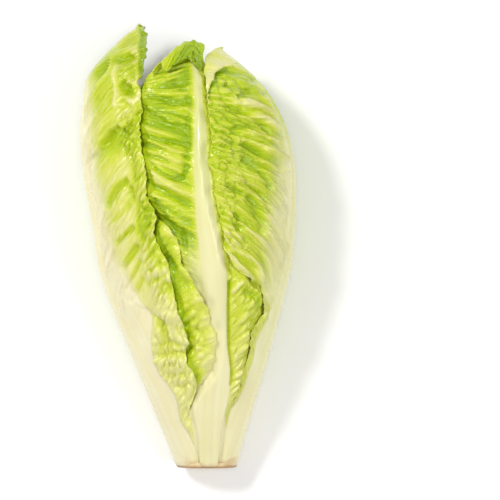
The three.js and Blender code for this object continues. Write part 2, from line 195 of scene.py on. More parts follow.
def read_map(cells, least):
    """Reads the map between its cells."""

    def value(angle, along):
        turn = np.asarray(angle) / CELL
        row = np.clip(np.asarray(along) / CELL, 0, ALONG_CELLS - 1.001)
        i, j = np.floor(turn).astype(int), np.floor(row).astype(int)
        s, t = turn - i, row - j
        near = cells[i % TURN_CELLS, j] * (1 - t) + cells[i % TURN_CELLS, j + 1] * t
        far = cells[(i + 1) % TURN_CELLS, j] * (1 - t) + cells[(i + 1) % TURN_CELLS, j + 1] * t
        return np.maximum(near * (1 - s) + far * s, least)

    return value


def room_under(resting_depth):
    """Gentle, close and closest depths that are clear of every leaf before."""
    needed = np.maximum(taken + CLEARANCE, resting_depth)
    gentle = sweep(sweep(needed, np.max, GENTLE), np.mean, GENTLE)
    closest = sweep(needed, np.max, CLOSE)
    close = sweep(closest, np.mean, CLOSE)
    return [read_map(cells, resting_depth) for cells in (gentle, close, closest)]


def slant(along):
    """How much deeper a blade reaches, measured square to the axis, because the outline slopes."""
    return np.minimum(MOST_SLANT, np.hypot(1, (half_width(along + 2) - half_width(along - 2)) / 4))


# %% [markdown]
# ## Crumples
#
# A blade is never smooth: its veins pull it into pleats, and between them it puckers. Blender has
# displacement modifiers for this, but their textures can't follow a leaf's own veins. Here the
# crumples come from two small seeded patterns, read in the leaf's own directions: one soft and
# rolling, one like a quilt with sharp seams.

# %% Soft and quilted patterns
LATTICE = 64
FAR = 1e9  # further than anything


def rolling(u, v, seed):
    """Soft random hills between 0 and 1, one unit apart."""
    heights = np.random.default_rng(seed).random((LATTICE, LATTICE))
    i, j = np.floor(u).astype(int), np.floor(v).astype(int)
    s, t = u - i, v - j
    s, t = s * s * (3 - 2 * s), t * t * (3 - 2 * t)

    def across(k):
        near, far = heights[i % LATTICE, k % LATTICE], heights[(i + 1) % LATTICE, k % LATTICE]
        return near * (1 - s) + far * s

    return across(j) * (1 - t) + across(j + 1) * t


def hills(u, v, height, seed):
    """Soft random hills and hollows, the height from the lowest to the highest."""
    return height * (rolling(u, v, seed) - 0.5)


def quilt(u, v, seed):
    """Pillows between 0 at their seams and 1 on top, about one unit across."""
    draw = np.random.default_rng(seed)
    jitter = draw.random((LATTICE, LATTICE, 2))
    i, j = np.floor(u).astype(int), np.floor(v).astype(int)
    nearest = np.full(np.shape(u), FAR)
    second = np.full(np.shape(u), FAR)
    for a in (-1, 0, 1):
        for b in (-1, 0, 1):
            seat = jitter[(i + a) % LATTICE, (j + b) % LATTICE]
            gap = np.hypot(u - (i + a + seat[..., 0]), v - (j + b + seat[..., 1]))
            second = np.where(gap < nearest, nearest, np.minimum(second, gap))
            nearest = np.minimum(nearest, gap)
    return np.clip((second - nearest) * 1.5, 0, 1) ** 0.7


def folds(amount, spacing, start):
    """The broad folds that the solids have too."""

    def relief(at):
        wave = np.sin(((at.along - 0.8 * at.off_rib) / spacing + start) * 2 * np.pi)
        return amount * (0.5 + 0.5 * wave) * ease(at.off_rib, 4, 16) * ease(at.along, 25, 80)

    return relief


def frill(distance, along, amount, length, start):
    """A wave along one margin, fading into the blade."""
    return amount * (0.5 + 0.5 * np.sin((along / length + start) * 2 * np.pi)) * bell(distance, 9)


# %% [markdown]
# Most of what the eye takes for crumpled leaf is made of five things. Pleats are narrow valleys
# that follow the side veins, and crests are sharp ridges along them. Puckers are pillows between
# the veins. A stroke is one single fold or hollow, drawn through a few points. A ledge is a fold
# that laps over itself: high on one side of a line and low on the other.

# %% Pleats, crests, puckers, strokes and ledges
def pleats(at, way, spacing, amount, seed):
    """Narrow valleys along the side veins, each a little different; way is measured across them."""
    out, along = at.from_rib, at.along
    bent = way + hills(along / 13, out / 11, 2.2, seed)
    valley = 1 - np.abs(np.sin(np.pi * bent / spacing))
    strength = 0.25 + 0.95 * rolling(bent / (1.3 * spacing), out / 12, seed + 1) ** 1.5
    return -amount * strength * valley**1.5


def puckers(at, way, size, stretch, amount, seed):
    """Pillows between the veins, longer along the veins by stretch, sunk at their seams."""
    warp = 0.6 * rolling(at.along / 8, at.from_rib / 8, seed + 5)
    pillow = quilt(at.from_rib / (size * stretch) + warp, way / size + warp, seed)
    uneven = 0.5 + 0.9 * rolling(at.along / 14, at.from_rib / 11, seed + 7)
    return amount * uneven * (pillow - 0.55)


def crests(at, way, spacing, stretch, seed):
    """Sharp wandering ridges along the side veins, about 1 on a strong crest, rising and fading."""
    out, along = at.from_rib, at.along
    bent = way + hills(along / (2.6 * spacing), out / (3 * spacing), 1.1 * spacing, seed)
    bent = bent + hills(along / (1.1 * spacing), out / (1.3 * spacing), 0.5 * spacing, seed + 2)
    phase = bent / spacing
    ridge = np.floor(phase)
    edge = 1 - np.abs(2 * (phase - ridge) - 1)
    strong = rolling(ridge * 0.73 + 20.5, out / (spacing * stretch) + 20, seed + 1)
    return np.clip(1.5 * strong - 0.2, 0.05, 1.2) * edge**1.4


def measure_line(at, points):
    """Signed distance to a line through (X, distance from the cut) points, above 0 on its left."""
    x, y = at.x, at.along
    best = np.full(np.shape(x), FAR)
    signed = np.full(np.shape(x), FAR)
    for (ax, ay), (bx, by) in zip(points[:-1], points[1:]):
        dx, dy = bx - ax, by - ay
        t = np.clip(((x - ax) * dx + (y - ay) * dy) / (dx * dx + dy * dy), 0, 1)
        gap = np.hypot(x - ax - t * dx, y - ay - t * dy)
        side = np.sign(dx * (y - ay) - dy * (x - ax))
        signed = np.where(gap < best, gap * side, signed)
        best = np.minimum(best, gap)
    return signed


def strokes(at, lines):
    """Single folds: each is its points, its half width and its height (below 0 for a hollow)."""
    shape = 0 * at.x
    for points, width, height in lines:
        shape = shape + height * bell(measure_line(at, points), width)
    return shape


def ledge(at, points, height, wide):
    """A lapped fold, high on the left of its line and low on the right, fading at both ends."""
    signed = measure_line(at, points)
    kept = 1.0
    for end_x, end_y in (points[0], points[-1]):
        kept = kept * (1 - bell(np.hypot(at.x - end_x, at.along - end_y), 3))
    upper = ease(signed, -0.35, 0.35)
    lower = 0.9 * bell(signed, 1.6) + 0.35 * bell(signed, wide)
    return height * kept * (upper * bell(signed, wide) - (1 - upper) * lower)


def shade_under_lap(at, points):
    """Painted shade right under a lapped fold: sharp at its edge and fading away from it."""
    signed = measure_line(at, points)
    return fade(signed, -0.4, 0.2) * bell(signed, 2.8)


def edge_frill(at, side, wide, fine, seed):
    """Small ruffles of a margin, in and out of the blade. side is from_low or from_high."""
    along, gap = at.along, getattr(at, side)
    phase = along + 5 * rolling(along / 13, 0 * along + 3.5, seed)
    big = np.sin(2 * np.pi * phase / 11.5) * bell(gap, 5.5)
    small = np.sin(2 * np.pi * phase / 4.7 + 1) * bell(gap, 2.4)
    return wide * big + fine * small


# %% [markdown]
# ## Growing a leaf
#
# A leaf starts as a flat grid, the way one would start it by hand, because a grid has even rows and
# columns and a tidy border. Its corners are then carried to their places on the head, the rib is
# raised, and Solidify gives the sheet its thickness: thin at the edge and thick in the rib, told by
# a vertex group.
#
# On the way each point learns how far it is from the rib, from the margins and from the cut. The
# colours use that later.

# %% Spots on a leaf
THICKEST = 7.0  # the most that Solidify has to give
THICKNESS_STEPS = 60  # vertex weights are given in this many steps
TIP_STOP = 0.998  # the last row stays just short of the tip, where the margins meet
ROW_CROWDING = 1.15  # above 1, the rows stand closer towards the tip
MOST_BITE = 0.3  # teeth never cut deeper than this share of a half blade
# painted shade and light: the crumples' hollows are painted a deeper green and their crests a paler
# one
HOLLOW_LIMIT = 1.3  # hollows deeper than this get no greener
MEASURED_DEPTH = 2  # distances round the head are measured this deep under the leaf's outside
LEAST_RADIUS = 5


def per_degree(leaf, along):
    """Millimetres round the head for one degree."""
    radius = (half_width(along) + half_depth(along)) / 2 - leaf["depth"] - MEASURED_DEPTH
    return np.radians(np.maximum(LEAST_RADIUS, radius))


def describe(leaf, rooms, angle, along):
    """Everything that is asked of spots on a leaf."""
    low, rib, high = leaf["low"](along), leaf["rib"](along), leaf["high"](along)
    step = per_degree(leaf, along)
    at = SimpleNamespace(
        along=along,
        from_rib=(angle - rib) * step,
        from_low=np.maximum(0, (angle - low) * step),
        from_high=np.maximum(0, (high - angle) * step),
        x=x_at(angle, along),
    )
    at.off_rib = np.abs(at.from_rib)
    at.swell = (1 - np.minimum(1, at.off_rib / leaf["rib_width"](along)) ** 2) ** 1.2
    gentle, close, closest = [room(angle, along) for room in rooms]
    at.free = 1 - ease(closest - leaf["depth"], 0.1, 0.8)
    bed = gentle - np.maximum(0, gentle - close) * leaf["lift"](at)
    at.rest = bed + leaf["rib_height"](along) * (1 - leaf["rise"](at)) + leaf["relief"](at)
    at.ridge = leaf["rib_height"](along) * at.swell
    at.flesh = leaf["flesh"](along) * at.swell
    crumple = leaf["detail"](at)
    at.crumple = np.where(crumple > 0, crumple * at.free, crumple)
    at.outer = at.rest - leaf["flare"](at) - at.crumple
    return at


def mark_room(leaf, rooms):
    """Writes the room that a leaf takes into the map."""
    for row in range(ALONG_CELLS):
        along = min(max(row * CELL, leaf["root"]), leaf["tip"] - 0.5)
        if abs(along - row * CELL) > CELL:
            continue
        low, high = float(leaf["low"](along)), float(leaf["high"](along))
        turns = np.arange(math.floor(low / CELL), math.ceil(high / CELL) + 1)
        angles = np.clip(turns * CELL, low, high)
        spots = describe(leaf, rooms, angles, np.full(len(turns), float(along)))
        reach = spots.outer + (BLADE + spots.flesh) * slant(along)
        cells = turns % TURN_CELLS
        taken[cells, row] = np.maximum(taken[cells, row], reach)


def bend_over(leaf, rooms, angle, along, points):
    """Turns the end of a leaf over towards the outside, past its bend."""
    hook = leaf["hook"]
    bend = hook["bend"](x_at(angle, np.minimum(along, hook["level"])))
    over = along > bend
    turned = np.minimum(np.maximum(along - bend, 0) / hook["radius"], math.radians(hook["turn"]))
    straight = np.maximum(along - bend, 0) - turned * hook["radius"]
    onward = hook["radius"] * np.sin(turned) + straight * np.cos(turned)
    outward = hook["radius"] * (1 - np.cos(turned)) + straight * np.sin(turned)
    spots = describe(leaf, rooms, angle, bend)
    crest = place(angle, bend, spots.rest)
    spots = describe(leaf, rooms, angle, bend - 2)
    before = place(angle, bend - 2, spots.rest)
    heading = np.arctan2(crest[:, 2] - before[:, 2], crest[:, 1] - before[:, 1])
    crest[:, 1] += onward * np.cos(heading) - outward * np.sin(heading)
    crest[:, 2] += onward * np.sin(heading) + outward * np.cos(heading)
    points[over] = crest[over]
    return over.astype(float)


# %% Grow one leaf
def add_grid(name, columns, rows):
    """A flat grid with nothing else selected, two units wide and two high."""
    bpy.ops.object.select_all(action="DESELECT")
    bpy.ops.mesh.primitive_grid_add(
        x_subdivisions=columns, y_subdivisions=rows, size=2, calc_uvs=True
    )
    piece = bpy.context.active_object
    piece.name = name
    piece.data.name = name
    return piece


def read_points(mesh, kind="co"):
    flat = np.empty(len(mesh.vertices) * 3)
    mesh.vertices.foreach_get(kind, flat)
    return flat.reshape(-1, 3)


def write_points(mesh, points):
    mesh.vertices.foreach_set("co", ((points - ORIGIN) * MM).ravel())
    mesh.update()


def store(mesh, name, values):
    layer = mesh.attributes.new(name, "FLOAT", "POINT")
    layer.data.foreach_set("value", np.asarray(values, np.float32))


def thicken(piece, thickness):
    """Gives a sheet its own thickness at every point, on its inner side."""
    group = piece.vertex_groups.new(name="thickness")
    steps = np.round(np.clip(thickness / THICKEST, 0, 1) * THICKNESS_STEPS).astype(int)
    for step in np.unique(steps):
        group.add(np.nonzero(steps == step)[0].tolist(), step / THICKNESS_STEPS, "REPLACE")
    bpy.context.view_layer.objects.active = piece
    thick = piece.modifiers.new("thickness", "SOLIDIFY")
    thick.thickness = THICKEST * MM
    thick.offset = -1
    thick.vertex_group = "thickness"
    bpy.ops.object.modifier_apply(modifier="thickness")


def lay_out(leaf, flat):
    """Carries the corners of a flat grid to their angles and distances along the head."""
    across, up = (1 - flat[:, 0]) / 2, (flat[:, 1] + 1) / 2
    split = leaf["split"]
    side = np.where(across < split, across / split - 1, (across - split) / (1 - split))
    root = LEAF_FOOT if leaf["root"] == LEAF_ROOT else leaf["root"]
    along = root + (leaf["tip"] - root) * (1 - (1 - TIP_STOP * up) ** ROW_CROWDING)
    low, rib, high = leaf["low"](along), leaf["rib"](along), leaf["high"](along)
    span = np.where(side < 0, rib - low, high - rib)
    bite = np.minimum(leaf["teeth"](along) / per_degree(leaf, along), MOST_BITE * span)
    return rib + side * (span - bite * np.abs(side) ** 3), along


def remember(mesh, leaf, at, over):
    """Keeps, on every point, the numbers that its colour is mixed from."""
    # painted shade and light: a deeper green in the crumples' hollows and a paler green on their
    # crests
    hollow = HOLLOW_LIMIT * np.tanh(at.crumple / HOLLOW_LIMIT)
    painted_shading = leaf["painted_fold_shading"] * hollow * (0.45 + 0.55 * ease(at.along, 60, 115))
    green = leaf["green"](at) - painted_shading
    # the turned-over end takes its own green: partly its upper face's deeper colour, partly painted
    # shade towards its lower edge
    if "hook" in leaf:
        green = green * (1 - over) + leaf["hook"]["green"](at) * over
    store(mesh, "pale", np.clip(leaf["pale"](at), 0, 1) * (1 - over))
    store(mesh, "green", np.clip(green, 0, 1))
    store(mesh, "margin", np.minimum(at.from_low, at.from_high) * MM)
    store(mesh, "vein_way", leaf["way"](at) * MM)
    store(mesh, "from_cut", at.along * MM)
    store(mesh, "tinge_and_shade", leaf["tinge_and_shade"](at))
    loops = np.empty(len(mesh.loops), int)
    mesh.loops.foreach_get("vertex_index", loops)
    pairs = np.stack([at.from_rib, at.along], -1)[loops] * MM
    mesh.uv_layers[0].data.foreach_set("uv", pairs.ravel())


def grow(leaf):
    """Makes one leaf and keeps its room for the ones under it."""
    rooms = room_under(leaf["depth"])
    mark_room(leaf, rooms)
    piece = add_grid(leaf["name"] + "_fine", int(leaf["columns"] * FINE), int(leaf["rows"] * FINE))
    mesh = piece.data
    angle, along = lay_out(leaf, read_points(mesh))
    at = describe(leaf, rooms, angle, along)
    points = place(angle, along, at.outer - at.ridge + leaf["tuck"](at))
    over = np.zeros(len(along))
    if "hook" in leaf:
        over = bend_over(leaf, rooms, angle, along, points)
        write_points(mesh, points)  # so that the turned-over end has normals to crumple along
        crumple = over * leaf["hook"]["crumple"](at)
        points = points + read_points(mesh, "normal") * crumple[:, None]
    points[:, 2] = np.maximum(points[:, 2], FLAT_DEPTH)
    write_points(mesh, points)
    remember(mesh, leaf, at, over)

    thicken(piece, leaf["blade"] + at.ridge + at.flesh)
    bpy.ops.object.shade_smooth()
    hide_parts(leaf["name"])
    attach(piece, "root")
    print(piece.name, len(mesh.polygons) * 2, "triangles")
    return piece


# %% [markdown]
# ## The outer leaves
#
# Five leaves make the outside. Their margins and ribs are given by a few points each, in
# millimetres along and across the head. Every leaf also says what is its own: how its veins run,
# where it creases, how its edge waves, and where it is pale or green.

# %% What the leaves share
def nothing(at):
    return 0 * at.along


def fully(at):
    return 1 + 0 * at.along


def veins_at(slope):
    """How far along the rib the side vein through a spot starts."""
    return lambda at: at.along - slope * at.off_rib


def veins_along(*slopes):
    """The same where the slope of the veins changes along the leaf."""
    slope = curve(*slopes)
    return lambda at: at.along - slope(at.along) * at.off_rib


def beside_rib(near, far):
    """How far the blade has come up again at its distance from the rib."""
    return lambda at: ease(at.off_rib, near, far)


def rib_band(at, width, soft):
    """1 on the pale rib, fading over the soft edge."""
    return 1 - ease(at.off_rib - width(at.along), -soft, soft)


def hidden_rib(at, tip):
    """The pale rib on the side of an outer leaf that lies on the table side."""
    width = curve((0, 40), (40, 26), (80, 18), (120, 12), (160, 8), (200, 4), (tip, 0))
    return rib_band(at, width, 5)


def teeth(depth, length, seed, start=-1, full=0):
    """Notches along a margin, about one for each length, as deep as they get from full on."""
    return lambda along: (
        depth * rolling(along / length, 0 * along + 0.5, seed) * ease(along, start, full)
    )


def waved(side, amount, length, phase, swell, start, full):
    """A margin that waves and stands out by its swell, from full on."""

    def flare(at):
        gap = getattr(at, side)
        wave = frill(gap, at.along, amount, length, phase) + swell * bell(gap, 12)
        return wave * ease(at.along, start, full)

    return flare


def tucked(side):
    """A margin is pressed onto the leaf below it, and may sink into it a little."""
    press = curve((0, 1.3), (25, 1.3), (45, 1.5), (90, 1.4), (115, 1.1), (200, 1.0), (212, 0))
    rounded = curve((0, 0.9), (25, 1.1), (50, 0))

    def down(at):
        gap = getattr(at, side)
        return press(at.along) * bell(gap, 2) + rounded(at.along) * bell(gap, 6)

    return down


# a leaf that says nothing else rests at the outline, is thin, and is neither waved nor pressed down
COMMON = {
    "split": 0.5, "blade": 0.7, "depth": 0.0,
    "lift": nothing, "rise": nothing, "tuck": nothing, "flare": nothing, "tinge_and_shade": nothing,
}

# %% Back leaf, which the head lies on
back_way = veins_at(0.9)


def back_detail(at):
    blade, way = ease(at.off_rib, 8, 18) * ease(at.along, 30, 70), back_way(at)
    shape = pleats(at, way, 6.0, 1.1, 11) + puckers(at, way, 6, 1.5, 1.2, 12)
    ruffles = edge_frill(at, "from_low", 1.0, 0.4, 1) + edge_frill(at, "from_high", 1.0, 0.4, 2)
    return blade * shape + ruffles * ease(at.along, 20, 60)


leaf_back = {
    **COMMON, "name": "leaf_back", "root": LEAF_ROOT, "tip": 216,
    "rows": 160, "columns": 130,
    "rib": curve((0, 271), (150, 272), (200, 280), (216, 288)),
    "low": curve(
        (3, 226), (30, 216), (90, 212), (150, 206), (180, 216), (195, 238), (207, 262), (216, 288),
    ),
    "high": curve(
        (3, 318), (30, 324), (90, 330), (140, 334), (172, 336), (186, 332), (205, 314), (216, 288),
    ),
    "rib_width": curve((0, 12), (40, 12), (90, 9), (150, 5), (216, 1.5)),
    "rib_height": curve((0, 0.6), (60, 1.8), (120, 2.2), (180, 1.2), (216, 0.4)),
    "flesh": curve((0, 4), (40, 2.8), (90, 1.2), (150, 0.4), (216, 0)),
    "relief": folds(1.6, 26, 0.2),
    "flare": lambda at: (
        frill(at.from_low, at.along, 2, 27, 0)
        + frill(at.from_high, at.along, 1.6, 24, 0.3)
        + 8 * bell(at.from_high, 8) * bell(at.along - 174, 11)
    ),
    "detail": back_detail,
    "teeth": teeth(1.4, 3.2, 3),
    "pale": lambda at: rib_band(at, curve((0, 30), (60, 18), (110, 9), (170, 3), (216, 0)), 5),
    "green": lambda at: 0.3 + 0.4 * ease(at.along, 60, 190),
    "painted_fold_shading": 0.2,
    "way": back_way,
}

# %% [markdown]
# The left leaf has a crease from its tip to its waist. Outside the crease the blade is pale and
# pleated, inside it is green and puckered. Near the tip it laps over itself, and low down its
# margin turns over in a flap.

# %% Left leaf
left_crease = curve(
    (15, -5.8), (19, -6.9), (26.5, -11.7), (37, -13.3), (45, -17.5), (52, -23.9), (65, -27.6),
    (80, -27.2), (92, -28.6), (102, -31.3), (119, -35), (158, -38), (176, -46), (220, -44),
)
LEFT_VALLEYS = [
    ([(-41.3, 152.1), (-45.6, 148.4), (-49.8, 140.5)], 2.0, -2.6),
    ([(-39.8, 140.5), (-47.7, 131.4)], 1.3, -0.9),
    ([(-38.2, 127.9), (-45.8, 120.4)], 1.5, -2.0),
    ([(-36.7, 118.2), (-43.1, 107.6)], 1.5, -1.8),
    ([(-35, 110.2), (-41.3, 96.5)], 1.4, -1.3),
    ([(-32.9, 101.2), (-38.2, 90.1)], 1.4, -1.2),
    ([(-38.7, 149), (-38.4, 143)], 1.3, -1.8),
    ([(-55.5, 168.5), (-53, 172.5), (-49, 177.5)], 1.1, -1.8),
    ([(-43, 178.5), (-39, 176.5)], 1.8, -2.0),
]
LEFT_STRIP = [
    ([(-31, 137.5), (-26, 138.5)], 1.7, -2.6),
    ([(-30, 132.6), (-26.8, 134)], 1.5, -2.4),
    ([(-29.5, 128.5), (-26.8, 130)], 1.6, -2.6),
    ([(-28, 113), (-23.3, 117)], 1.3, -1.6),
    ([(-27.5, 106), (-21.5, 110)], 1.2, -1.4),
    ([(-26.5, 99.5), (-19.5, 103)], 1.2, -1.4),
    ([(-23, 93), (-17, 96.5)], 1.2, -1.2),
    ([(-20.7, 77), (-19.6, 74)], 1.8, -2.2),
    ([(-14.6, 67.5), (-12.4, 66)], 1.8, -2.0),
    ([(-25, 66), (-17.5, 68)], 1.2, -1.3),
    ([(-24.5, 60.5), (-17, 62)], 1.2, -1.2),
    ([(-22, 54.5), (-13, 56.5)], 1.3, -1.4),
    ([(-18, 49), (-9, 51)], 1.2, -1.3),
    ([(-14, 43.5), (-6.5, 46)], 1.1, -1.2),
]
LEFT_TOP = [
    ([(-43.5, 216.5), (-39, 217.5)], 2.4, -2.6),
    ([(-48.8, 217), (-51.5, 213), (-54.5, 208)], 2.2, -2.0),
    ([(-47.5, 219), (-48.2, 213), (-51.4, 207.8), (-54.5, 203)], 1.1, 1.3),
    ([(-44.8, 213), (-44.5, 203), (-44.5, 193.5)], 1.6, 1.5),
    ([(-41.5, 203), (-38.2, 200)], 2.6, -3.4),
    ([(-37.5, 199.5), (-34.5, 197)], 2.0, -2.4),
    ([(-40.5, 194.5), (-36.5, 191.5)], 1.4, -1.2),
    ([(-36.5, 212), (-34.5, 206)], 1.6, -1.2),
]
LEFT_LAP = [
    (-31.5, 192), (-37.1, 182.9), (-41.3, 179.7), (-43.5, 182), (-49.3, 179.1), (-55.5, 170.5),
]
LEFT_FLAP = [
    (-28.5, 84), (-24, 81.5), (-19.1, 79.5), (-17, 71.6), (-15, 63.8), (-8.5, 63.2), (-3, 68),
]

left_way = veins_at(1.0)


def left_rolled(at):
    """1 on the edge of the tip, where it rolls over."""
    return ease(at.x, -32.6, -31.4) * ease(at.along, 203, 207)


def left_detail(at):
    along, x, way = at.along, at.x, left_way(at)
    beyond = x - left_crease(along)
    blade = ease(at.off_rib, 5, 12)
    pleated = fade(beyond, -4, 1) * ease(along, 66, 104) * blade
    strip = ease(beyond, -0.5, 2.5) * ease(along, 12, 34)
    top = ease(measure_line(at, LEFT_LAP), -1, 1) * ease(along, 160, 172)
    crumpled = top * ease(x, -48, -42)
    long = 1.5 * crests(at, way, 3.3, 5, 21) + puckers(at, way, 6, 2.6, 0.7, 27)
    shape = pleated * (1 - top) * long
    fine = puckers(at, way, 3.6, 1.6, 1.7, 22) + 1.2 * crests(at, way, 3.6, 1.8, 28)
    shape += strip * (1 - top) * (fine + hills(at.from_rib / 6, along / 7, 2.2, 23))
    shape += 1.0 * bell(beyond - 2, 2.5) * fade(along, 70, 84) * ease(along, 12, 24)
    shape += top * blade * hills(at.from_rib / 8, along / 9, 2.0, 24)
    shape += crumpled * (puckers(at, way, 3.8, 1.2, 2.2, 25) + 1.9 * crests(at, way, 4, 1.3, 29))
    single = 1.2 * strokes(at, LEFT_VALLEYS) + strokes(at, LEFT_STRIP)
    shape += single + 1.25 * strokes(at, LEFT_TOP)
    shape += ledge(at, LEFT_LAP, -1.9, 8) + ledge(at, LEFT_FLAP, 1.5, 6)
    shape -= 2.2 * left_rolled(at) * fade(along, 231, 234)
    calm = 0.4 * (1 + ease(along, 55, 75) - ease(along, 95, 115) + 1.5 * ease(along, 190, 205))
    return shape + edge_frill(at, "from_low", 0.9, 0.5, 26) * ease(along, 25, 45) * calm


def left_pale(at):
    edge = curve(
        (0, 30), (8, 0), (14, -4.5), (19, -6.5), (26.5, -11), (37, -12.6), (45, -16.6), (52, -22.6),
        (65, -26.6), (80, -27.6), (90, -33.4), (112, -46), (141, -54), (170, -58.6), (196, -59.4),
        (215, -60),
    )
    soft = 1 + 4 * ease(at.along, 80, 110)
    front = 1 - ease((at.x - edge(at.along)) / soft, -0.7, 0.9)
    return np.where(at.from_rib < 0, front, hidden_rib(at, 236))


def left_green(at):
    along, beyond = at.along, at.x - left_crease(at.along)
    strip = ease(beyond, -2, 3)
    side = 0.02 + 0.15 * ease(along, 95, 150) + 0.34 * ease(along, 160, 200)
    inside = 0.02 + 0.12 * ease(along, 50, 90) + 0.27 * ease(along, 90, 130)
    inside -= 0.1 * ease(along, 150, 190)
    # painted shade: a deeper green just under the lap near the tip
    shade = 0.4 * shade_under_lap(at, LEFT_LAP) * ease(along, 168, 174)
    return side * (1 - strip) + inside * strip + 0.35 * left_rolled(at) + shade


def left_teeth(along):
    calm = 1 - 0.6 * ease(along, 95, 110) * fade(along, 190, 205)
    return teeth(1.1, 2.6, 13, 25, 60)(along) * calm


leaf_left = {
    **COMMON, "name": "leaf_left", "root": LEAF_ROOT, "tip": 236.5,
    "rows": 276, "columns": 176, "split": 0.68,
    "rib": curve((0, 158), (40, 163), (80, 172), (130, 178), (200, 180), (228, 172), (236.5, 170)),
    "low": front_line(
        (3, -1.8), (14, -2.3), (21, -3.4), (32, -6), (40, -3.0), (46, -1.2), (52, -3.4), (57, -6.4),
        (62, -7.5), (68, -4.9), (73, -7.2), (81, -9.5), (92, -13.2), (107, -16), (111, -17.5),
        (117, -21.2), (123, -24), (128, -24), (134, -22.8), (139, -25.8), (145, -29), (154, -28),
        (162, -28.8), (170, -31.3), (186, -31.3), (200, -30), (204, -31.5), (208, -30.5),
        (215, -29.5), (222, -28), (227, -28.2), (232, -28.8), (235, -30.2), (236.5, -31.8),
    ),
    "high": curve(
        (3, 222), (30, 228), (90, 236), (150, 238), (190, 230), (215, 215), (230, 195),
        (236.5, 170),
    ),
    "rib_width": curve((0, 15), (40, 14), (80, 10), (120, 7), (170, 4), (210, 1.6), (236, 1)),
    "rib_height": curve((0, 0.5), (60, 1.5), (120, 2), (180, 1.4), (212, 0.4), (236, 0.2)),
    "flesh": curve((0, 4.4), (40, 3), (90, 1.4), (150, 0.5), (236, 0)),
    "tuck": tucked("from_low"),
    "relief": lambda at: (
        folds(1.6, 22, 0.4)(at)
        + 2.6 * bell(at.x - left_crease(at.along), 7)
        * ease(at.along, 50, 90) * fade(at.along, 165, 190)
    ),
    "flare": waved("from_low", 1.2, 25, 0.1, 0.8, 30, 60),
    "detail": left_detail,
    "teeth": left_teeth,
    "pale": left_pale,
    "green": left_green,
    "painted_fold_shading": 0.31,
    "way": left_way,
}

# %% [markdown]
# The right leaf is cream along its outer side. Long pleats run up from there and get crumpled
# towards the front margin. Its tip is a smooth flap that laps over the crumpled blade.

# %% Right leaf
RIGHT_FOLDS = [
    ([(9.9, 209), (14.3, 210.9), (21.2, 208.3), (29.5, 205.5)], 1.8, -2.6),
    ([(21.9, 196.8), (28.8, 199.9), (34.8, 198.4)], 1.6, -1.8),
    ([(18.2, 190), (25.8, 187.8), (34.8, 183.2), (38.5, 178.5)], 1.5, -1.6),
    ([(14, 203), (22, 202), (30, 200.5)], 1.4, -1.2),
    ([(20, 180), (28, 181), (36, 176)], 1.5, -1.4),
    ([(26, 171.5), (33, 168)], 2.6, -1.8),
    ([(24, 163), (33, 158), (39, 150)], 1.5, -1.6),
    ([(27.5, 143), (32, 138), (36, 128)], 2.4, -2.2),
    ([(26, 152), (34, 146), (39, 137)], 1.4, -1.2),
    ([(11.7, 137.8), (13.5, 136.5)], 1.6, -2.0),
    ([(20.2, 134.5), (22, 133.5)], 1.6, -2.4),
    ([(20.5, 129.3), (22.2, 128.4)], 1.5, -2.2),
    ([(16, 150), (22, 146)], 1.7, -1.6),
    ([(24, 122), (33, 116), (38, 104)], 1.4, -1.0),
]
RIGHT_LAP = [(5.6, 193), (4.9, 199), (6.6, 205), (9.6, 208.8), (14, 212)]

right_way = veins_along((0, 1.6), (90, 1.2), (140, 0.8), (180, 0.35), (205, 0.1), (224, 0))


def right_flap(at):
    """1 on the smooth flap above the lap."""
    return ease(measure_line(at, RIGHT_LAP), 0, 1.5) * ease(at.along, 190, 198)


def right_detail(at):
    along, way = at.along, right_way(at)
    blade = ease(at.off_rib, 7, 16) * ease(along, 62, 100)
    loose = fade(at.x, 16, 30) * ease(along, 100, 125)
    high = ease(along, 165, 190)
    fine = (1.9 - 0.6 * high) * crests(at, way, 3.6, 5.0, 31)
    broad = (2.8 + 2.2 * high) * crests(at, way, 9, 3.0, 35)
    shape = blade * (1 - 0.5 * loose) * (fine + broad - 1.0)
    crumpled = puckers(at, way, 4.6, 1.5, 2.5, 32) + 1.9 * crests(at, way, 5, 1.7, 38)
    shape += blade * loose * crumpled
    shape += blade * hills(at.from_rib / 11, along / 11, 2.0, 34)
    shape += 1.3 * strokes(at, RIGHT_FOLDS)
    shape = shape * (1 - 0.85 * right_flap(at)) + ledge(at, RIGHT_LAP, 1.3, 5)
    shape += right_strip(at) * (0.6 + puckers(at, way, 3.4, 1.2, 0.9, 39))
    calm = 0.45 * (1 + ease(along, 90, 100) - ease(along, 105, 120))
    return shape + edge_frill(at, "from_high", 0.6, 0.45, 36) * ease(along, 25, 50) * calm


def right_strip(at):
    """The narrow frill beside the stalk."""
    wide = curve((28, 0.5), (33, 2), (45, 2.4), (60, 3.2), (74, 4.5), (84, 7), (92, 10))(at.along)
    return ease(wide - at.from_high, -0.8, 0.8) * ease(at.along, 28, 34) * fade(at.along, 82, 95)


def right_pale(at):
    edge = curve(
        (0, -20), (20, 8), (30.7, 14.3), (37, 19.6), (42.4, 23.3), (48.8, 26), (58.3, 28.1),
        (66.8, 31.4), (80.6, 36.5), (90, 37.5), (108.7, 39.5), (127, 41), (143, 43), (160, 45),
        (180, 47), (200, 46),
    )
    soft = 1.5 + 6.5 * ease(at.along, 80, 110)
    front = ease((at.x - edge(at.along)) / soft, -1, 0.6)
    return np.where(at.from_rib > 0, front, hidden_rib(at, 224)) * (1 - right_strip(at))


def right_green(at):
    along = at.along
    loose = fade(at.x, 16, 36) * ease(along, 95, 130)
    blade = 0.1 + 0.2 * ease(along, 85, 125) + 0.25 * ease(along, 128, 152)
    blade = blade - 0.22 * ease(along, 165, 200) + 0.14 * loose
    # painted shade: a deeper green just under the smooth flap's lap
    shade = 0.3 * shade_under_lap(at, RIGHT_LAP) * ease(along, 193, 200)
    return blade * (1 - 0.62 * right_flap(at)) + 0.16 * right_strip(at) + shade


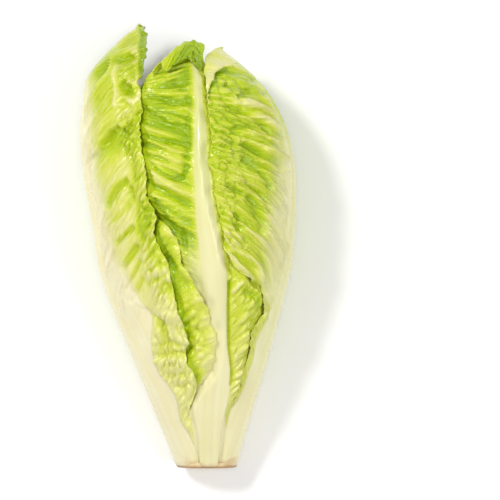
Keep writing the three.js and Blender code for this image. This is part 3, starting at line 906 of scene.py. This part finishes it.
leaf_right = {
    **COMMON, "name": "leaf_right", "root": LEAF_ROOT, "tip": 224.5,
    "rows": 276, "columns": 176, "split": 0.34,
    "rib": curve((0, 14), (40, 9), (90, 2), (150, 0), (205, 2), (224.5, 8)),
    "low": curve(
        (3, -38), (30, -46), (90, -58), (150, -62), (190, -54), (210, -38), (220, -15), (224.5, 8),
    ),
    "high": front_line(
        (3, 11), (14, 12), (31, 15.4), (37, 19), (45, 22.8), (56, 24.9), (64, 27), (72, 29.2),
        (81, 32.9), (87, 36), (92, 36.5), (97, 35), (102, 27), (107, 19.5), (113, 15.6), (124, 13),
        (134, 10.4), (141, 9.2), (148, 7.9), (156, 6.7), (160.5, 5.4), (162.5, 4.5), (165, 5.4),
        (173, 6.1), (181, 5.6), (193, 4.0), (205, 2.8), (216.5, 2.8), (222.6, 6), (224.5, 10.5),
    ),
    "rib_width": curve((0, 14), (40, 12), (80, 9.5), (120, 7), (170, 4.2), (210, 1.8), (225, 1)),
    "rib_height": curve((0, 0.5), (60, 1.5), (120, 2), (180, 1.4), (212, 0.5), (225, 0.2)),
    "flesh": curve((0, 4.4), (40, 3), (90, 1.4), (150, 0.5), (225, 0)),
    "tuck": tucked("from_high"),
    "relief": folds(1.6, 21, 0.7),
    "flare": waved("from_high", 1.0, 23, 0.6, 0.6, 25, 55),
    "detail": right_detail,
    "teeth": teeth(1.1, 2.8, 33, 20, 40),
    "pale": right_pale,
    "green": right_green,
    "painted_fold_shading": 0.32,
    # the rib's cream turns greener and darker up the leaf: partly its own colour, partly painted
    # shade
    "tinge_and_shade": lambda at: 0.08 + 0.32 * ease(at.along, 20, 80),
    "way": right_way,
}

# %% Inner left leaf, seen between the left leaf and the front rib
INNER_HOLLOWS = [
    ([(-19, 112.5), (-14, 108.5)], 2.2, -2.4),
    ([(-12.5, 106), (-7, 98.5)], 2.4, -2.2),
    ([(-10, 82), (-6, 85)], 1.4, -1.8),
    ([(-8.5, 77), (-3.5, 80)], 1.4, -2.0),
    ([(-6.5, 71.5), (-1.5, 74.5)], 1.4, -1.8),
]
LEFT_MARGIN = [
    (-24.4, 143), (-23.3, 126), (-17, 112.4), (-14.8, 100.7), (-12.7, 89), (-8.5, 77.4),
    (-6.4, 66.8), (-6.4, 58.3), (-2.1, 50.9), (-1.1, 41.3),
]

inner_way = veins_at(0.5)


def inner_detail(at):
    body = ease(at.along, 30, 50)
    rim = fade(at.from_low, 4, 7)
    shape = body * (1 - 0.6 * rim) * puckers(at, inner_way(at), 3.6, 1.6, 1.9, 42)
    shape += body * 0.9 * crests(at, inner_way(at), 3.8, 1.8, 44)
    return shape + strokes(at, INNER_HOLLOWS) + edge_frill(at, "from_low", 0.6, 0.4, 46)


def inner_green(at):
    """Painted shade: greener where the left leaf's margin lies over it and shades it, and paler at
    its own margin.
    """
    # painted shade in the shadow of the left leaf's margin
    painted_margin_shade = bell(measure_line(at, LEFT_MARGIN), 3.5)
    blade = 0.16 + 0.3 * ease(at.along, 55, 110) - 0.2 * bell(at.from_low, 4)
    return blade + 0.5 * painted_margin_shade * (1 - bell(at.from_low, 2))


leaf_left_inner = {
    **COMMON, "name": "leaf_left_inner", "root": 9, "tip": 196,
    "rows": 190, "columns": 140, "split": 0.66,
    "rib": curve((0, 145), (60, 152), (130, 158), (196, 150)),
    "low": front_line(
        (9, -12), (30, -9), (42, -3), (47, 2.5), (53, 6.8), (63, 9.9), (73, 10.2), (78, 6.9),
        (86, 5.7), (90, 3.2), (95, 0), (105, -5.3), (110, -8.5), (117, -9.5), (123, -11.7),
        (128, -14.8), (131, -19), (134, -26), (140, -33), (150, -38), (175, -42), (190, -50),
        (196, -54),
    ),
    "high": curve((9, 200), (60, 210), (120, 212), (170, 195), (190, 170), (196, 150)),
    "depth": 0.4,
    "rib_width": curve((0, 9), (60, 9), (120, 6), (196, 1.5)),
    "rib_height": curve((0, 0.5), (60, 1.2), (120, 1.4), (196, 0.3)),
    "flesh": curve((0, 2.6), (60, 1.6), (120, 0.6), (196, 0)),
    "lift": fully,
    "rise": beside_rib(6, 16),
    "tuck": tucked("from_low"),
    "relief": folds(1.4, 20, 0.1),
    "flare": waved("from_low", 0.8, 21, 0.4, 0, 40, 60),
    "detail": inner_detail,
    "teeth": teeth(1.2, 2.4, 43),
    "pale": lambda at: 1 - ease(at.along, 20, 50) * ease(at.off_rib, 6, 14),
    "green": inner_green,
    "painted_fold_shading": 0.2,
    "way": inner_way,
}

# %% [markdown]
# The front leaf is the one that faces up. Its thick cream rib stands between the other leaves, its
# left half hangs in broad glossy folds like a hammock, its right half is puckered, and its tip is
# folded over.

# %% Front leaf
front_left_edge = curve(
    (0, -12), (40, -5), (60, 0), (78, 5), (95, 3.2), (111, 1), (122, 0.4), (131, -0.6), (139, -1),
    (148, -1.2), (158, -1.9), (170, -1.9), (183, -1.5), (196, -1.4), (209, -2.1), (214, -3.2),
    (222, -4.5),
)
front_right_edge = curve(
    (0, 18), (33, 14.5), (44, 15.9), (56, 16.3), (65, 15.6), (95, 15.2), (111, 14.2), (131, 9.5),
    (148, 6.9), (170, 4.2), (183, 3.6), (196, 1.6), (209, 0.5), (214, -1.2), (222, -3),
)
FRONT_HOLLOWS = [
    ([(-24, 141.5), (-18.5, 134), (-14.5, 128.5)], 2.8, -2.2),
    ([(-9, 126.5), (-7.5, 118)], 1.5, -2.4),
    ([(-26, 162.8), (-21.2, 157.5), (-15.2, 153.7), (-9.1, 153.7), (-7, 157.5)], 1.2, -2.0),
    ([(-26.5, 197.2), (-20.3, 195.6), (-14.3, 192.6), (-8, 191.9)], 1.3, -2.0),
    ([(-26.5, 187.3), (-20.3, 184.3), (-14.3, 181.6), (-6, 181.3)], 1.3, -2.2),
    ([(-27.9, 176.7), (-20.3, 172.9), (-11.2, 172.9), (-5.3, 171.4)], 1.3, -2.0),
    ([(-12, 204), (-6, 199), (-4, 192)], 2.2, -1.6),
    ([(-5.5, 185), (-5, 172), (-7, 160)], 2.0, -1.8),
    ([(25, 95), (31, 92), (32, 87)], 2.4, -1.8),
    ([(28, 80), (28.5, 74)], 2.0, -1.6),
    ([(16.9, 100), (16.2, 88), (16.3, 66), (17.5, 54), (17, 46)], 0.9, -2.2),
]

front_way = veins_along(
    (0, 0.9), (100, 0.9), (125, 0.5), (165, 0.45), (190, 0.3), (202, -0.1), (214, -0.4),
)


def front_rise(at):
    """The blade comes up flush with the rib: on both sides low down, on the right further up."""
    along, out = at.along, at.from_rib
    flush = np.maximum((out < 0) * ease(along, 98, 118), fade(along, 50, 75))
    return np.maximum(ease(np.abs(out), 7, 15), (1 - at.swell) * flush)


def front_detail(at):
    along, out, x, way = at.along, at.from_rib, at.x, front_way(at)
    left = ease(front_left_edge(along) - x, 0, 5) * ease(along, 92, 118)
    right = ease(x - front_right_edge(along), 0, 3) * ease(along, 28, 45)
    shape = left * (2.0 * crests(at, way, 3.5, 4.0, 51) + 3.2 * crests(at, way, 8.5, 2.4, 59) - 1.3)
    shape += left * 1.1 * crests(at, way + 0.3 * out, 2.8, 3.0, 57)
    soft = 0.8 * puckers(at, way, 4.5, 2.6, 1.0, 52) + hills(out / 12, way / 6, 2.2, 53)
    quilted = puckers(at, way, 3.8, 1.7, 2.0, 55) + 1.4 * crests(at, way, 4.2, 2.0, 54)
    shape += left * soft
    shape += right * (quilted + 0.2)
    shape += strokes(at, FRONT_HOLLOWS)
    grooves = 0.5 * bell(out - 2.4, 1.1) + 0.45 * bell(out + 2.2, 1.0) + 0.35 * bell(out - 4.6, 0.9)
    rounded = 0.5 * (1 - bell(out, 5)) * fade(along, 30, 52) * ease(6.5 - np.abs(out), -6, 4)
    return shape - grooves * fade(along, 25, 75) - rounded


def cap_crumple(at):
    """Crumples of the turned-over tip."""
    soft = hills(at.from_rib / 8, at.along / 8, 1.2, 63)
    return soft + 0.9 * puckers(at, veins_at(0.5)(at), 5, 1.8, 1.0, 62)


def front_pale(at):
    along = at.along
    from_left, from_right = at.x - front_left_edge(along), front_right_edge(along) - at.x
    inside = ease(from_left, -1.8, 0.8) * ease(from_right, -0.6, 0.4)
    soft = 0.75 * ease(from_left, -14, 0) * ease(along, 70, 85) * fade(along, 100, 128)
    return np.maximum(inside, soft * ease(from_right, -0.6, 0.4))


def front_green(at):
    along, x = at.along, at.x
    left = ease(front_left_edge(along) - x, 0, 4)
    right = ease(x - front_right_edge(along), 0, 2)
    shade = left * (0.46 * ease(along, 86, 130) + 0.16 * ease(along, 140, 190))
    return 0.12 + shade + right * 0.24 * ease(along, 35, 90)


leaf_front = {
    **COMMON, "name": "leaf_front", "root": LEAF_ROOT, "tip": 243,
    "rows": 276, "columns": 176, "split": 0.48,
    "rib": front_line(
        (3, 3.7), (10, 3.9), (34.5, 5.5), (66, 9.3), (95, 9), (111, 7.6), (131, 4.2), (148, 2),
        (170, 1.2), (196, 0), (214, -2.4), (230, -3), (243, -2), highest=222,
    ),
    "low": front_line(
        (3, 15), (29, 24), (60, 38), (95, 44), (150, 40), (190, 26), (205, 14), (214, 5),
        (222, 1.8), (238, 1.8), (241.5, 1), (243, -2), highest=222,
    ),
    "high": front_line(
        (3, -8), (30, -16), (60, -26), (95, -36), (130, -44), (170, -42), (192, -38), (200, -31.5),
        (206, -29.5), (210, -25), (216, -22), (226, -20), (234, -14), (240, -7), (243, -2),
        highest=222,
    ),
    "rib_width": curve(
        (0, 7.4), (34, 7.6), (66, 7.2), (111, 6.6), (140, 5), (170, 3.4), (196, 2), (214, 1.2),
        (247, 0.8),
    ),
    "rib_height": curve(
        (0, 0.5), (34, 1.6), (66, 2.6), (111, 2.8), (160, 2.2), (200, 1.2), (216, 0.6), (247, 0),
    ),
    "flesh": curve((0, 3.4), (40, 2.2), (90, 1), (150, 0.4), (247, 0)),
    "lift": fully,
    "rise": front_rise,
    "relief": folds(1.2, 17, 0.5),
    "detail": front_detail,
    "teeth": teeth(0.9, 3.0, 53, 20, 40),
    "pale": front_pale,
    "green": front_green,
    "painted_fold_shading": 0.36,
    # the rib's cream turns greener and darker up the leaf: partly its own colour, partly painted
    # shade
    "tinge_and_shade": lambda at: 0.14 + 0.14 * ease(at.along, 40, 90) + 0.45 * ease(at.along, 110, 185),
    "way": front_way,
    "hook": {
        "radius": 2.8, "turn": 190, "level": 222,
        "bend": curve((-24, 206), (-21, 210), (-13, 217.5), (-4, 221.5), (2, 219.5)),
        "crumple": cap_crumple,
        # painted shade: deeper green from the bend towards the lower edge, on top of the upper
        # face's own deeper green
        "green": lambda at: 0.45 + 0.6 * ease(at.along, 221, 235),
    },
}

# %% [markdown]
# ## The heart
#
# Inside, shorter leaves stand closer and closer to the middle and lean over it. They are all one
# kind of leaf with another size and place, so one function describes them.

# %% Heart leaves
def heart_leaf(name, root, tip, middle, spread, rows):
    long = tip - root
    opening = curve(
        (root, 0.62), (root + 0.3 * long, 0.85), (root + 0.65 * long, 1),
        (root + 0.88 * long, 0.76), (root + 0.97 * long, 0.4), (tip, 0),
    )
    seed, way = int(middle), veins_at(0.8)

    def relief(at):
        lean = HEART_LEAN * ease(at.along, tip - 0.3 * long, tip) ** 1.5
        return folds(1.2, 21, middle / 90)(at) + lean

    def detail(at):
        return ease(at.along, tip - 60, tip - 30) * puckers(at, way(at), 6, 1.4, 1.0, seed)

    return {
        **COMMON, "name": name, "root": root, "tip": tip, "rows": rows, "columns": 60,
        "rib": lambda along: 0 * along + middle,
        "low": lambda along: middle - spread * opening(along),
        "high": lambda along: middle + spread * opening(along),
        "depth": 1.0,
        "rib_width": curve((root, 7), (root + 0.5 * long, 5), (tip, 1.2)),
        "rib_height": curve((root, 0.5), (root + 0.4 * long, 1.4), (tip, 0.3)),
        "flesh": curve((root, 1.5), (root + 0.4 * long, 0.7), (tip, 0)),
        "relief": relief,
        "detail": detail,
        "teeth": teeth(1.4, 3.0, seed + 1),
        "pale": lambda at: rib_band(at, curve((root, 20), (root + 0.6 * long, 4), (tip, 0.5)), 3),
        "green": lambda at: 0.12 + 0.3 * ease(at.along, tip - 90, tip),
        "painted_fold_shading": 0.15,
        "way": way,
    }


heart = [
    heart_leaf("heart_back_left", 14, 205, 234, 66, 130),
    heart_leaf("heart_back_right", 18, 209, 312, 66, 130),
    heart_leaf("heart_front_left", 22, 196, 132, 62, 120),
    heart_leaf("heart_front_right", 26, 200, 38, 62, 120),
    heart_leaf("heart_back", 31, 190, 268, 60, 110),
    heart_leaf("heart_front", 48, 166, 84, 56, 90),
]

outside = [leaf_back, leaf_left, leaf_right, leaf_left_inner, leaf_front]
leaves = [grow(leaf) for leaf in outside + heart]

# %% [markdown]
# ## Leaf colour
#
# A romaine leaf goes from a cream rib over pale yellow-green to a fresh green. Light goes a little
# way into it, so the shader scatters light under the surface. Painting it by hand would work, but
# the points already know where they are on the leaf, so the colours are mixed from those numbers
# and broken up with noise. Part of the mix is painted light and shade: deeper green in hollows,
# under laps, under an overlying margin and on the turned-over tip, paler green on crests, part of
# the ribs' greener cream, and a bright rim along the margins.

# %% Helpers for materials
# a Mix node has several sockets of the same name, so its colour ones are told by number
MIX_FIRST_COLOUR, MIX_SECOND_COLOUR, MIX_COLOUR_OUT = 6, 7, 2


class Wires:
    """Short words for adding and joining shader nodes."""

    def __init__(self, tree):
        self.tree = tree

    def node(self, kind, **settings):
        made = self.tree.nodes.new(kind)
        for key, value in settings.items():
            setattr(made, key, value)
        return made

    def feed(self, socket, value):
        if isinstance(value, bpy.types.NodeSocket):
            self.tree.links.new(value, socket)
        else:
            socket.default_value = value

    def feed_all(self, node, given):
        for name, value in given.items():
            self.feed(node.inputs[name], value)

    def number(self, name):
        """A number that the points of the mesh carry."""
        return self.node("ShaderNodeAttribute", attribute_name=name).outputs["Fac"]

    def math(self, operation, *values, clamp=False):
        made = self.node("ShaderNodeMath", operation=operation, use_clamp=clamp)
        for socket, value in zip(made.inputs, values):
            self.feed(socket, value)
        return made.outputs[0]

    def plus(self, first, second, clamp=False):
        return self.math("ADD", first, second, clamp=clamp)

    def times(self, first, second):
        return self.math("MULTIPLY", first, second)

    def sway(self, noise, amount):
        """Noise turned into a swing to both sides of nothing."""
        return self.times(self.math("SUBTRACT", noise, 0.5), amount)

    def smooth(self, value, low, high, to_low=0.0, to_high=1.0):
        """A soft step from to_low, where the value is low, to to_high, where it is high."""
        made = self.node("ShaderNodeMapRange", interpolation_type="SMOOTHSTEP")
        step = {"From Min": low, "From Max": high, "To Min": to_low, "To Max": to_high}
        self.feed_all(made, {"Value": value, **step})
        return made.outputs["Result"]

    def blend(self, share, first, second):
        made = self.node("ShaderNodeMix", data_type="RGBA")
        self.feed(made.inputs["Factor"], share)
        self.feed(made.inputs[MIX_FIRST_COLOUR], first)
        self.feed(made.inputs[MIX_SECOND_COLOUR], second)
        return made.outputs[MIX_COLOUR_OUT]

    def noise(self, vector, scale, detail):
        made = self.node("ShaderNodeTexNoise")
        self.feed_all(made, {"Vector": vector, "Scale": scale, "Detail": detail, "Roughness": 0.5})
        return made.outputs["Fac"]

    def group(self, tree, given):
        made = self.node("ShaderNodeGroup", node_tree=tree)
        self.feed_all(made, given)
        return made.outputs

    def bump(self, shader, height, strength, distance):
        made = self.node("ShaderNodeBump")
        self.feed_all(made, {"Strength": strength, "Distance": distance, "Height": height})
        self.feed(shader.inputs["Normal"], made.outputs["Normal"])

    def stretched(self, vector, across, along):
        made = self.node("ShaderNodeMapping")
        self.feed(made.inputs["Vector"], vector)
        made.inputs["Scale"].default_value = (across, along, 1)
        return made.outputs["Vector"]

    def ramp(self, share, stops):
        made = self.node("ShaderNodeValToRGB")
        self.feed(made.inputs["Fac"], share)
        bar = made.color_ramp.elements
        while len(bar) < len(stops):
            bar.new(0.5)
        for element, (position, colour) in zip(bar, stops):
            element.position = position
            element.color = (*colour, 1)
        return made.outputs["Color"]


def new_material(name):
    """A material, the words to fill it and its shader."""
    material = bpy.data.materials.new(name)
    material.use_nodes = True
    tree = material.node_tree
    return material, Wires(tree), tree.nodes["Principled BSDF"]


# %% [markdown]
# Cream flesh and the tan of the cut are found on the leaves and on the stem alike, so they are made
# once, as node groups, and both materials use them.

# %% Shared node groups
def new_group(name, inputs, outputs):
    """An empty node group with its sockets, and the words to fill it."""
    tree = bpy.data.node_groups.new(name, "ShaderNodeTree")
    for word, kind in inputs:
        tree.interface.new_socket(word, in_out="INPUT", socket_type=kind)
    for word, kind in outputs:
        tree.interface.new_socket(word, in_out="OUTPUT", socket_type=kind)
    w = Wires(tree)
    return tree, w, w.node("NodeGroupInput").outputs, w.node("NodeGroupOutput").inputs


FLOAT, VECTOR, COLOUR = "NodeSocketFloat", "NodeSocketVector", "NodeSocketColor"
# how often each pattern repeats in a metre
FIBRES = (330, 9)  # across the rib and along it
STREAKS = (110, 620)  # out from the rib and across the veins
CLOUDS, BLOTCHES, TAN_PATCHES, VEIN_WARP = 45, 70, 110, 90
VEIN_NET, GLOSS, CRUMPLE, MOTTLE = 380, 420, 240, 260
# distances in metres, in pairs where something starts to fade and where it is gone
TAN_ENDS, DARK_TAN_ENDS, RIM_HIGHLIGHT_ENDS = (0.0085, 0.0135), (0.0012, 0.0026), (0.0002, 0.0012)
TAN_SWING, WARP_SWING = 0.016, 0.005
VEIN_SPACING, VEIN_REACH = 0.0042, 0.0006
# how far a vein's colour covers the blade's
SIDE_VEIN, FINE_VEIN = 0.2, 0.12
TAN = (0.62, 0.40, 0.20, 1)
DARK_TAN = (0.40, 0.22, 0.085, 1)
GREEN_CREAM = (0.60, 0.64, 0.20, 1)
VEIN_COLOUR = (0.74, 0.80, 0.16, 1)
CUT_FLESH = [(0.62, 0.44, 0.22, 1), (0.84, 0.70, 0.45, 1)]
CREAM = [(0.3, (0.80, 0.72, 0.38)), (0.8, (0.88, 0.83, 0.56))]
BLADE_GREENS = [
    (0.0, (0.75, 0.73, 0.28)), (0.2, (0.66, 0.69, 0.11)), (0.4, (0.55, 0.63, 0.03)),
    (0.7, (0.43, 0.56, 0.002)), (1.0, (0.28, 0.43, 0.001)),
]

cream_group, w, given, made = new_group(
    "cream flesh", [("Fibres", VECTOR), ("Place", VECTOR)], [("Colour", COLOUR), ("Height", FLOAT)]
)
fibres = w.noise(w.stretched(given["Fibres"], *FIBRES), 1.0, 2)
cloudy = w.noise(given["Place"], CLOUDS, 2)
tone = w.plus(w.times(fibres, 0.65), w.times(cloudy, 0.5))
w.feed(made["Colour"], w.ramp(tone, CREAM))
w.feed(made["Height"], fibres)

cut_group, w, given, made = new_group(
    "dried cut", [("Colour", COLOUR), ("From cut", FLOAT), ("Place", VECTOR)], [("Colour", COLOUR)]
)
uneven = w.times(w.noise(given["Place"], TAN_PATCHES, 3), TAN_SWING)
patch = w.smooth(w.plus(given["From cut"], uneven), *TAN_ENDS, 0.62, 0.0)
line = w.smooth(w.plus(given["From cut"], w.times(uneven, 0.1)), *DARK_TAN_ENDS, 0.85, 0.0)
tanned = w.blend(patch, given["Colour"], TAN)
w.feed(made["Colour"], w.blend(line, tanned, DARK_TAN))


def dried(w, colour, in_space):
    """A colour that turns tan towards the cut."""
    given = {"Colour": colour, "From cut": w.number("from_cut"), "Place": in_space}
    return w.group(cut_group, given)["Colour"]


# %% Leaf material
def leaf_material():
    material, w, shader = new_material("leaf")
    place_on_leaf = w.node("ShaderNodeUVMap", uv_map="UVMap").outputs["UV"]
    in_space = w.node("ShaderNodeTexCoord").outputs["Object"]
    pale, green, way = w.number("pale"), w.number("green"), w.number("vein_way")
    apart = w.node("ShaderNodeSeparateXYZ")
    w.feed(apart.inputs["Vector"], place_on_leaf)
    along_veins = w.node("ShaderNodeCombineXYZ")
    w.feed_all(along_veins, {"X": apart.outputs["X"], "Y": way})

    blotches = w.noise(in_space, BLOTCHES, 3)
    patchy = w.plus(green, w.sway(blotches, 0.20))
    streaks = w.noise(w.stretched(along_veins.outputs["Vector"], *STREAKS), 1.0, 3)
    blade = w.ramp(w.plus(patchy, w.sway(streaks, 0.3), clamp=True), BLADE_GREENS)

    warp = w.sway(w.noise(place_on_leaf, VEIN_WARP, 2), WARP_SWING)
    wave = w.math("PINGPONG", w.plus(way, warp), VEIN_SPACING / 2)
    side_vein = w.smooth(wave, 0.0, VEIN_REACH, 1.0, 0.0)
    net = w.node("ShaderNodeTexVoronoi", feature="DISTANCE_TO_EDGE")
    w.feed_all(net, {"Vector": place_on_leaf, "Scale": VEIN_NET})
    fine_vein = w.smooth(net.outputs["Distance"], 0.0, 0.10, 1.0, 0.0)
    veins = w.math("MAXIMUM", w.times(side_vein, SIDE_VEIN), w.times(fine_vein, FINE_VEIN))
    # painted highlight: a thin bright rim along each margin, partly the thin edge's own paler
    # colour, strongest on the paler blades
    rim = w.smooth(w.number("margin"), *RIM_HIGHLIGHT_ENDS, 1.0, 0.0)
    rim = w.times(rim, w.smooth(green, 0.1, 0.45, 0.4, 0.1))
    veined = w.blend(w.math("MAXIMUM", veins, rim), blade, VEIN_COLOUR)

    flesh = w.group(cream_group, {"Fibres": place_on_leaf, "Place": in_space})
    mid = w.times(w.times(pale, w.math("SUBTRACT", 1.0, pale)), 2.4)
    rib = w.plus(pale, w.sway(streaks, mid), clamp=True)
    # a greener, darker cream on the ribs: partly the ribs' own colour, partly painted shade
    tinged = w.blend(w.number("tinge_and_shade"), flesh["Colour"], GREEN_CREAM)
    colour = w.blend(rib, veined, tinged)
    look = {
        "Base Color": dried(w, colour, in_space),
        "Roughness": w.smooth(w.noise(in_space, GLOSS, 2), 0.3, 0.7, 0.27, 0.32),
        "Specular IOR Level": 0.12,
        "Coat Weight": 0.55,
        "Coat Roughness": 0.16,
        "Subsurface Weight": 0.2,
        "Subsurface Radius": (1.0, 1.0, 0.7),
        "Subsurface Scale": 0.001,
    }
    w.feed_all(shader, look)

    on_blade = w.smooth(pale, 0.3, 0.9, 1.0, 0.0)
    swing = w.math("SUBTRACT", w.times(streaks, 4.0), 2.0)
    ridged = w.math("SUBTRACT", 1.0, w.math("ABSOLUTE", swing))
    crumple = w.plus(w.times(ridged, 0.55), w.times(w.noise(in_space, CRUMPLE, 2), 0.5))
    height = w.times(w.math("SUBTRACT", crumple, w.times(veins, 0.8)), on_blade)
    height = w.plus(height, w.times(flesh["Height"], w.times(pale, 0.05)))
    w.bump(shader, height, strength=0.7, distance=0.0008)
    return material


def paint(piece, material):
    piece.data.materials.clear()
    piece.data.materials.append(material)


leaf_finish = leaf_material()
for leaf in leaves:
    paint(leaf, leaf_finish)

# %% [markdown]
# ## The stem
#
# The stem is cut across just under the lowest leaves. The cut dries to a tan skin with a soft rim,
# and the cone inside carries the heart. A lathe profile would make it too round, so a ring is
# extruded again and again, from the middle of the cut out to the rim, up the foot and in to the top
# of the cone, and each ring is then pushed to its size and off its circle.

# %% Stem
# each ring is its distance from the cut and, for the foot, its share of the foot's radius or, for
# the cone, its own radius
FOOT_RINGS = [
    (0.5, 0.06), (0.45, 0.2), (0.3, 0.32), (0.35, 0.44), (0.2, 0.56), (0.25, 0.67), (0.1, 0.77),
    (0.05, 0.86), (0.0, 0.93), (0.12, 0.965), (0.45, 0.992), (1.0, 1.0), (1.8, 1.0), (2.6, 0.995),
    (3.0, 0.975), (3.3, 0.9), (3.3, 0.6),
]
CONE_RINGS = [
    (3.4, 5.6), (5, 5.0), (9, 4.7), (14, 4.4), (22, 3.6), (30, 2.8), (38, 2.0), (46, 1.4),
    (48, 0.8), (48.4, 0.2),
]
STEM_RINGS = [(along, share, 0) for along, share in FOOT_RINGS]
STEM_RINGS += [(along, 0, cone) for along, cone in CONE_RINGS]
FACE_RINGS = 9  # the first rings, which make the cut face
RIM_RING = 12  # where the cut face has turned into the side
FACE_DRIED = 0.0075  # the face counts as this far from the cut, which gives it a patchy tan
CUT_BUMPS, BUMP_SIZE = 0.5, 2.5
STEM_SIDES = 96


@contextmanager
def editing():
    bpy.ops.object.mode_set(mode="EDIT")
    yield
    bpy.ops.object.mode_set(mode="OBJECT")


def grow_stem():
    bpy.ops.object.select_all(action="DESELECT")
    bpy.ops.mesh.primitive_circle_add(vertices=STEM_SIDES, radius=1)
    piece = bpy.context.active_object
    piece.name = "stem_fine"
    piece.data.name = "stem_fine"
    with editing():
        bpy.ops.mesh.select_all(action="SELECT")
        for _ in STEM_RINGS[1:]:
            bpy.ops.mesh.extrude_edges_move(TRANSFORM_OT_translate={"value": (0, 0, 1)})
        bpy.ops.mesh.edge_face_add()
        bpy.ops.mesh.select_all(action="DESELECT")
    mesh = piece.data
    flat = read_points(mesh)
    mesh.vertices.foreach_set("select", flat[:, 2] < 0.5)
    with editing():
        bpy.ops.mesh.select_mode(type="VERT")
        bpy.ops.mesh.edge_face_add()

    ring = np.rint(flat[:, 2]).astype(int)
    turn = np.arctan2(flat[:, 1], flat[:, 0])
    along, share, cone = np.array(STEM_RINGS, float)[ring].T
    wobble = 1 + 0.012 * np.sin(3 * turn + 0.6) + 0.008 * np.sin(7 * turn)
    wobble += 0.006 * np.sin(17 * turn + 2)
    across = (cone + half_width(0) * share) * wobble
    deep = (cone + half_depth(0) * share) * wobble
    side, up = across * np.cos(turn), deep * np.sin(turn)
    bumps = CUT_BUMPS * rolling(20 + side / BUMP_SIZE, 20 + up / BUMP_SIZE, 71)
    along = along + bumps * fade(share, 0.7, 0.93) * (ring < FACE_RINGS)
    x = centre_x(along) + side
    z = np.maximum(half_depth(np.where(share > 0, 0, along)) + up, FLAT_DEPTH)
    write_points(mesh, np.stack([x, along, z], -1))
    store(mesh, "cut", 1 - ease(ring.astype(float), FACE_RINGS, RIM_RING))
    store(mesh, "from_cut", np.where(ring < FACE_RINGS, FACE_DRIED, along * MM))
    with editing():
        bpy.ops.mesh.select_all(action="SELECT")
        bpy.ops.mesh.normals_make_consistent(inside=False)
    bpy.ops.object.shade_smooth()
    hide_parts("stem")
    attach(piece, "root")
    print(piece.name, len(mesh.polygons), "faces")
    return piece


def stem_material():
    material, w, shader = new_material("stem")
    in_space = w.node("ShaderNodeTexCoord").outputs["Object"]
    flesh = w.group(cream_group, {"Fibres": in_space, "Place": in_space})
    mottle = w.noise(in_space, MOTTLE, 4)
    colour = w.blend(w.number("cut"), flesh["Colour"], w.blend(mottle, *CUT_FLESH))
    look = {
        "Base Color": dried(w, colour, in_space),
        "Roughness": 0.6,
        "Subsurface Weight": 0.2,
        "Subsurface Radius": (1.0, 0.8, 0.4),
        "Subsurface Scale": 0.002,
    }
    w.feed_all(shader, look)
    w.bump(shader, mottle, strength=0.6, distance=0.0006)
    return material


paint(grow_stem(), stem_material())

# %% [markdown]
# ## Floor, light and camera
#
# The head lies on a white table. A soft light from the upper left models it, and two weaker ones,
# from the right and from straight above, keep the gaps among the leaves from going black. The
# camera looks straight down through a long lens, so that the head's sides don't spread.

# %% Floor
NEAR_WHITE = (0.97, 0.97, 0.97, 1)
bpy.ops.object.select_all(action="DESELECT")
bpy.ops.mesh.primitive_plane_add(size=6, location=(0, 0, 0))
floor = bpy.context.active_object
floor.name = "floor"
floor_material, _, floor_shader = new_material("floor")
floor_shader.inputs["Base Color"].default_value = NEAR_WHITE
floor_shader.inputs["Roughness"].default_value = 0.9
paint(floor, floor_material)

# %% Light
MIDDLE_OF_HEAD = np.array([0, 0, 0.04])


def add_light(name, place_at, size, watts):
    """A round soft light that looks at the middle of the head."""
    lamp = bpy.data.lights.new(name, "AREA")
    lamp.shape = "DISK"
    lamp.size = size
    lamp.energy = watts
    holder = bpy.data.objects.new(name, lamp)
    bpy.context.collection.objects.link(holder)
    holder.location = place_at
    way = MIDDLE_OF_HEAD - np.array(place_at, float)
    tilt = math.atan2(math.hypot(way[0], way[1]), -way[2])
    holder.rotation_euler = (tilt, 0, math.atan2(-way[0], way[1]))


add_light("key", (-0.56, 0.46, 1.05), 0.28, 8.1)
add_light("fill", (0.75, -0.25, 0.95), 0.7, 4.4)
add_light("top", (0.06, 0.0, 1.6), 0.3, 3.0)
sky = bpy.data.worlds.new("sky")
sky.use_nodes = True
background = sky.node_tree.nodes["Background"].inputs
background["Color"].default_value = (1, 1, 1, 1)
background["Strength"].default_value = 0.5
bpy.context.scene.world = sky

# %% Camera
VIEW_WIDTH = 0.265  # what the frame takes in at the head's widest level
WIDEST_LEVEL = 0.042
CAMERA_HEIGHT = 2.2
SENSOR = 36
lens = bpy.data.cameras.new("camera")
lens.sensor_width = SENSOR
lens.lens = SENSOR * (CAMERA_HEIGHT - WIDEST_LEVEL) / VIEW_WIDTH
camera = bpy.data.objects.new("camera", lens)
bpy.context.collection.objects.link(camera)
camera.location = (0.0285, 0.0116, CAMERA_HEIGHT)
camera.rotation_euler = (0, 0, 0)
lens.clip_end = 20
bpy.context.scene.camera = camera
bpy.context.scene.view_settings.view_transform = "Standard"
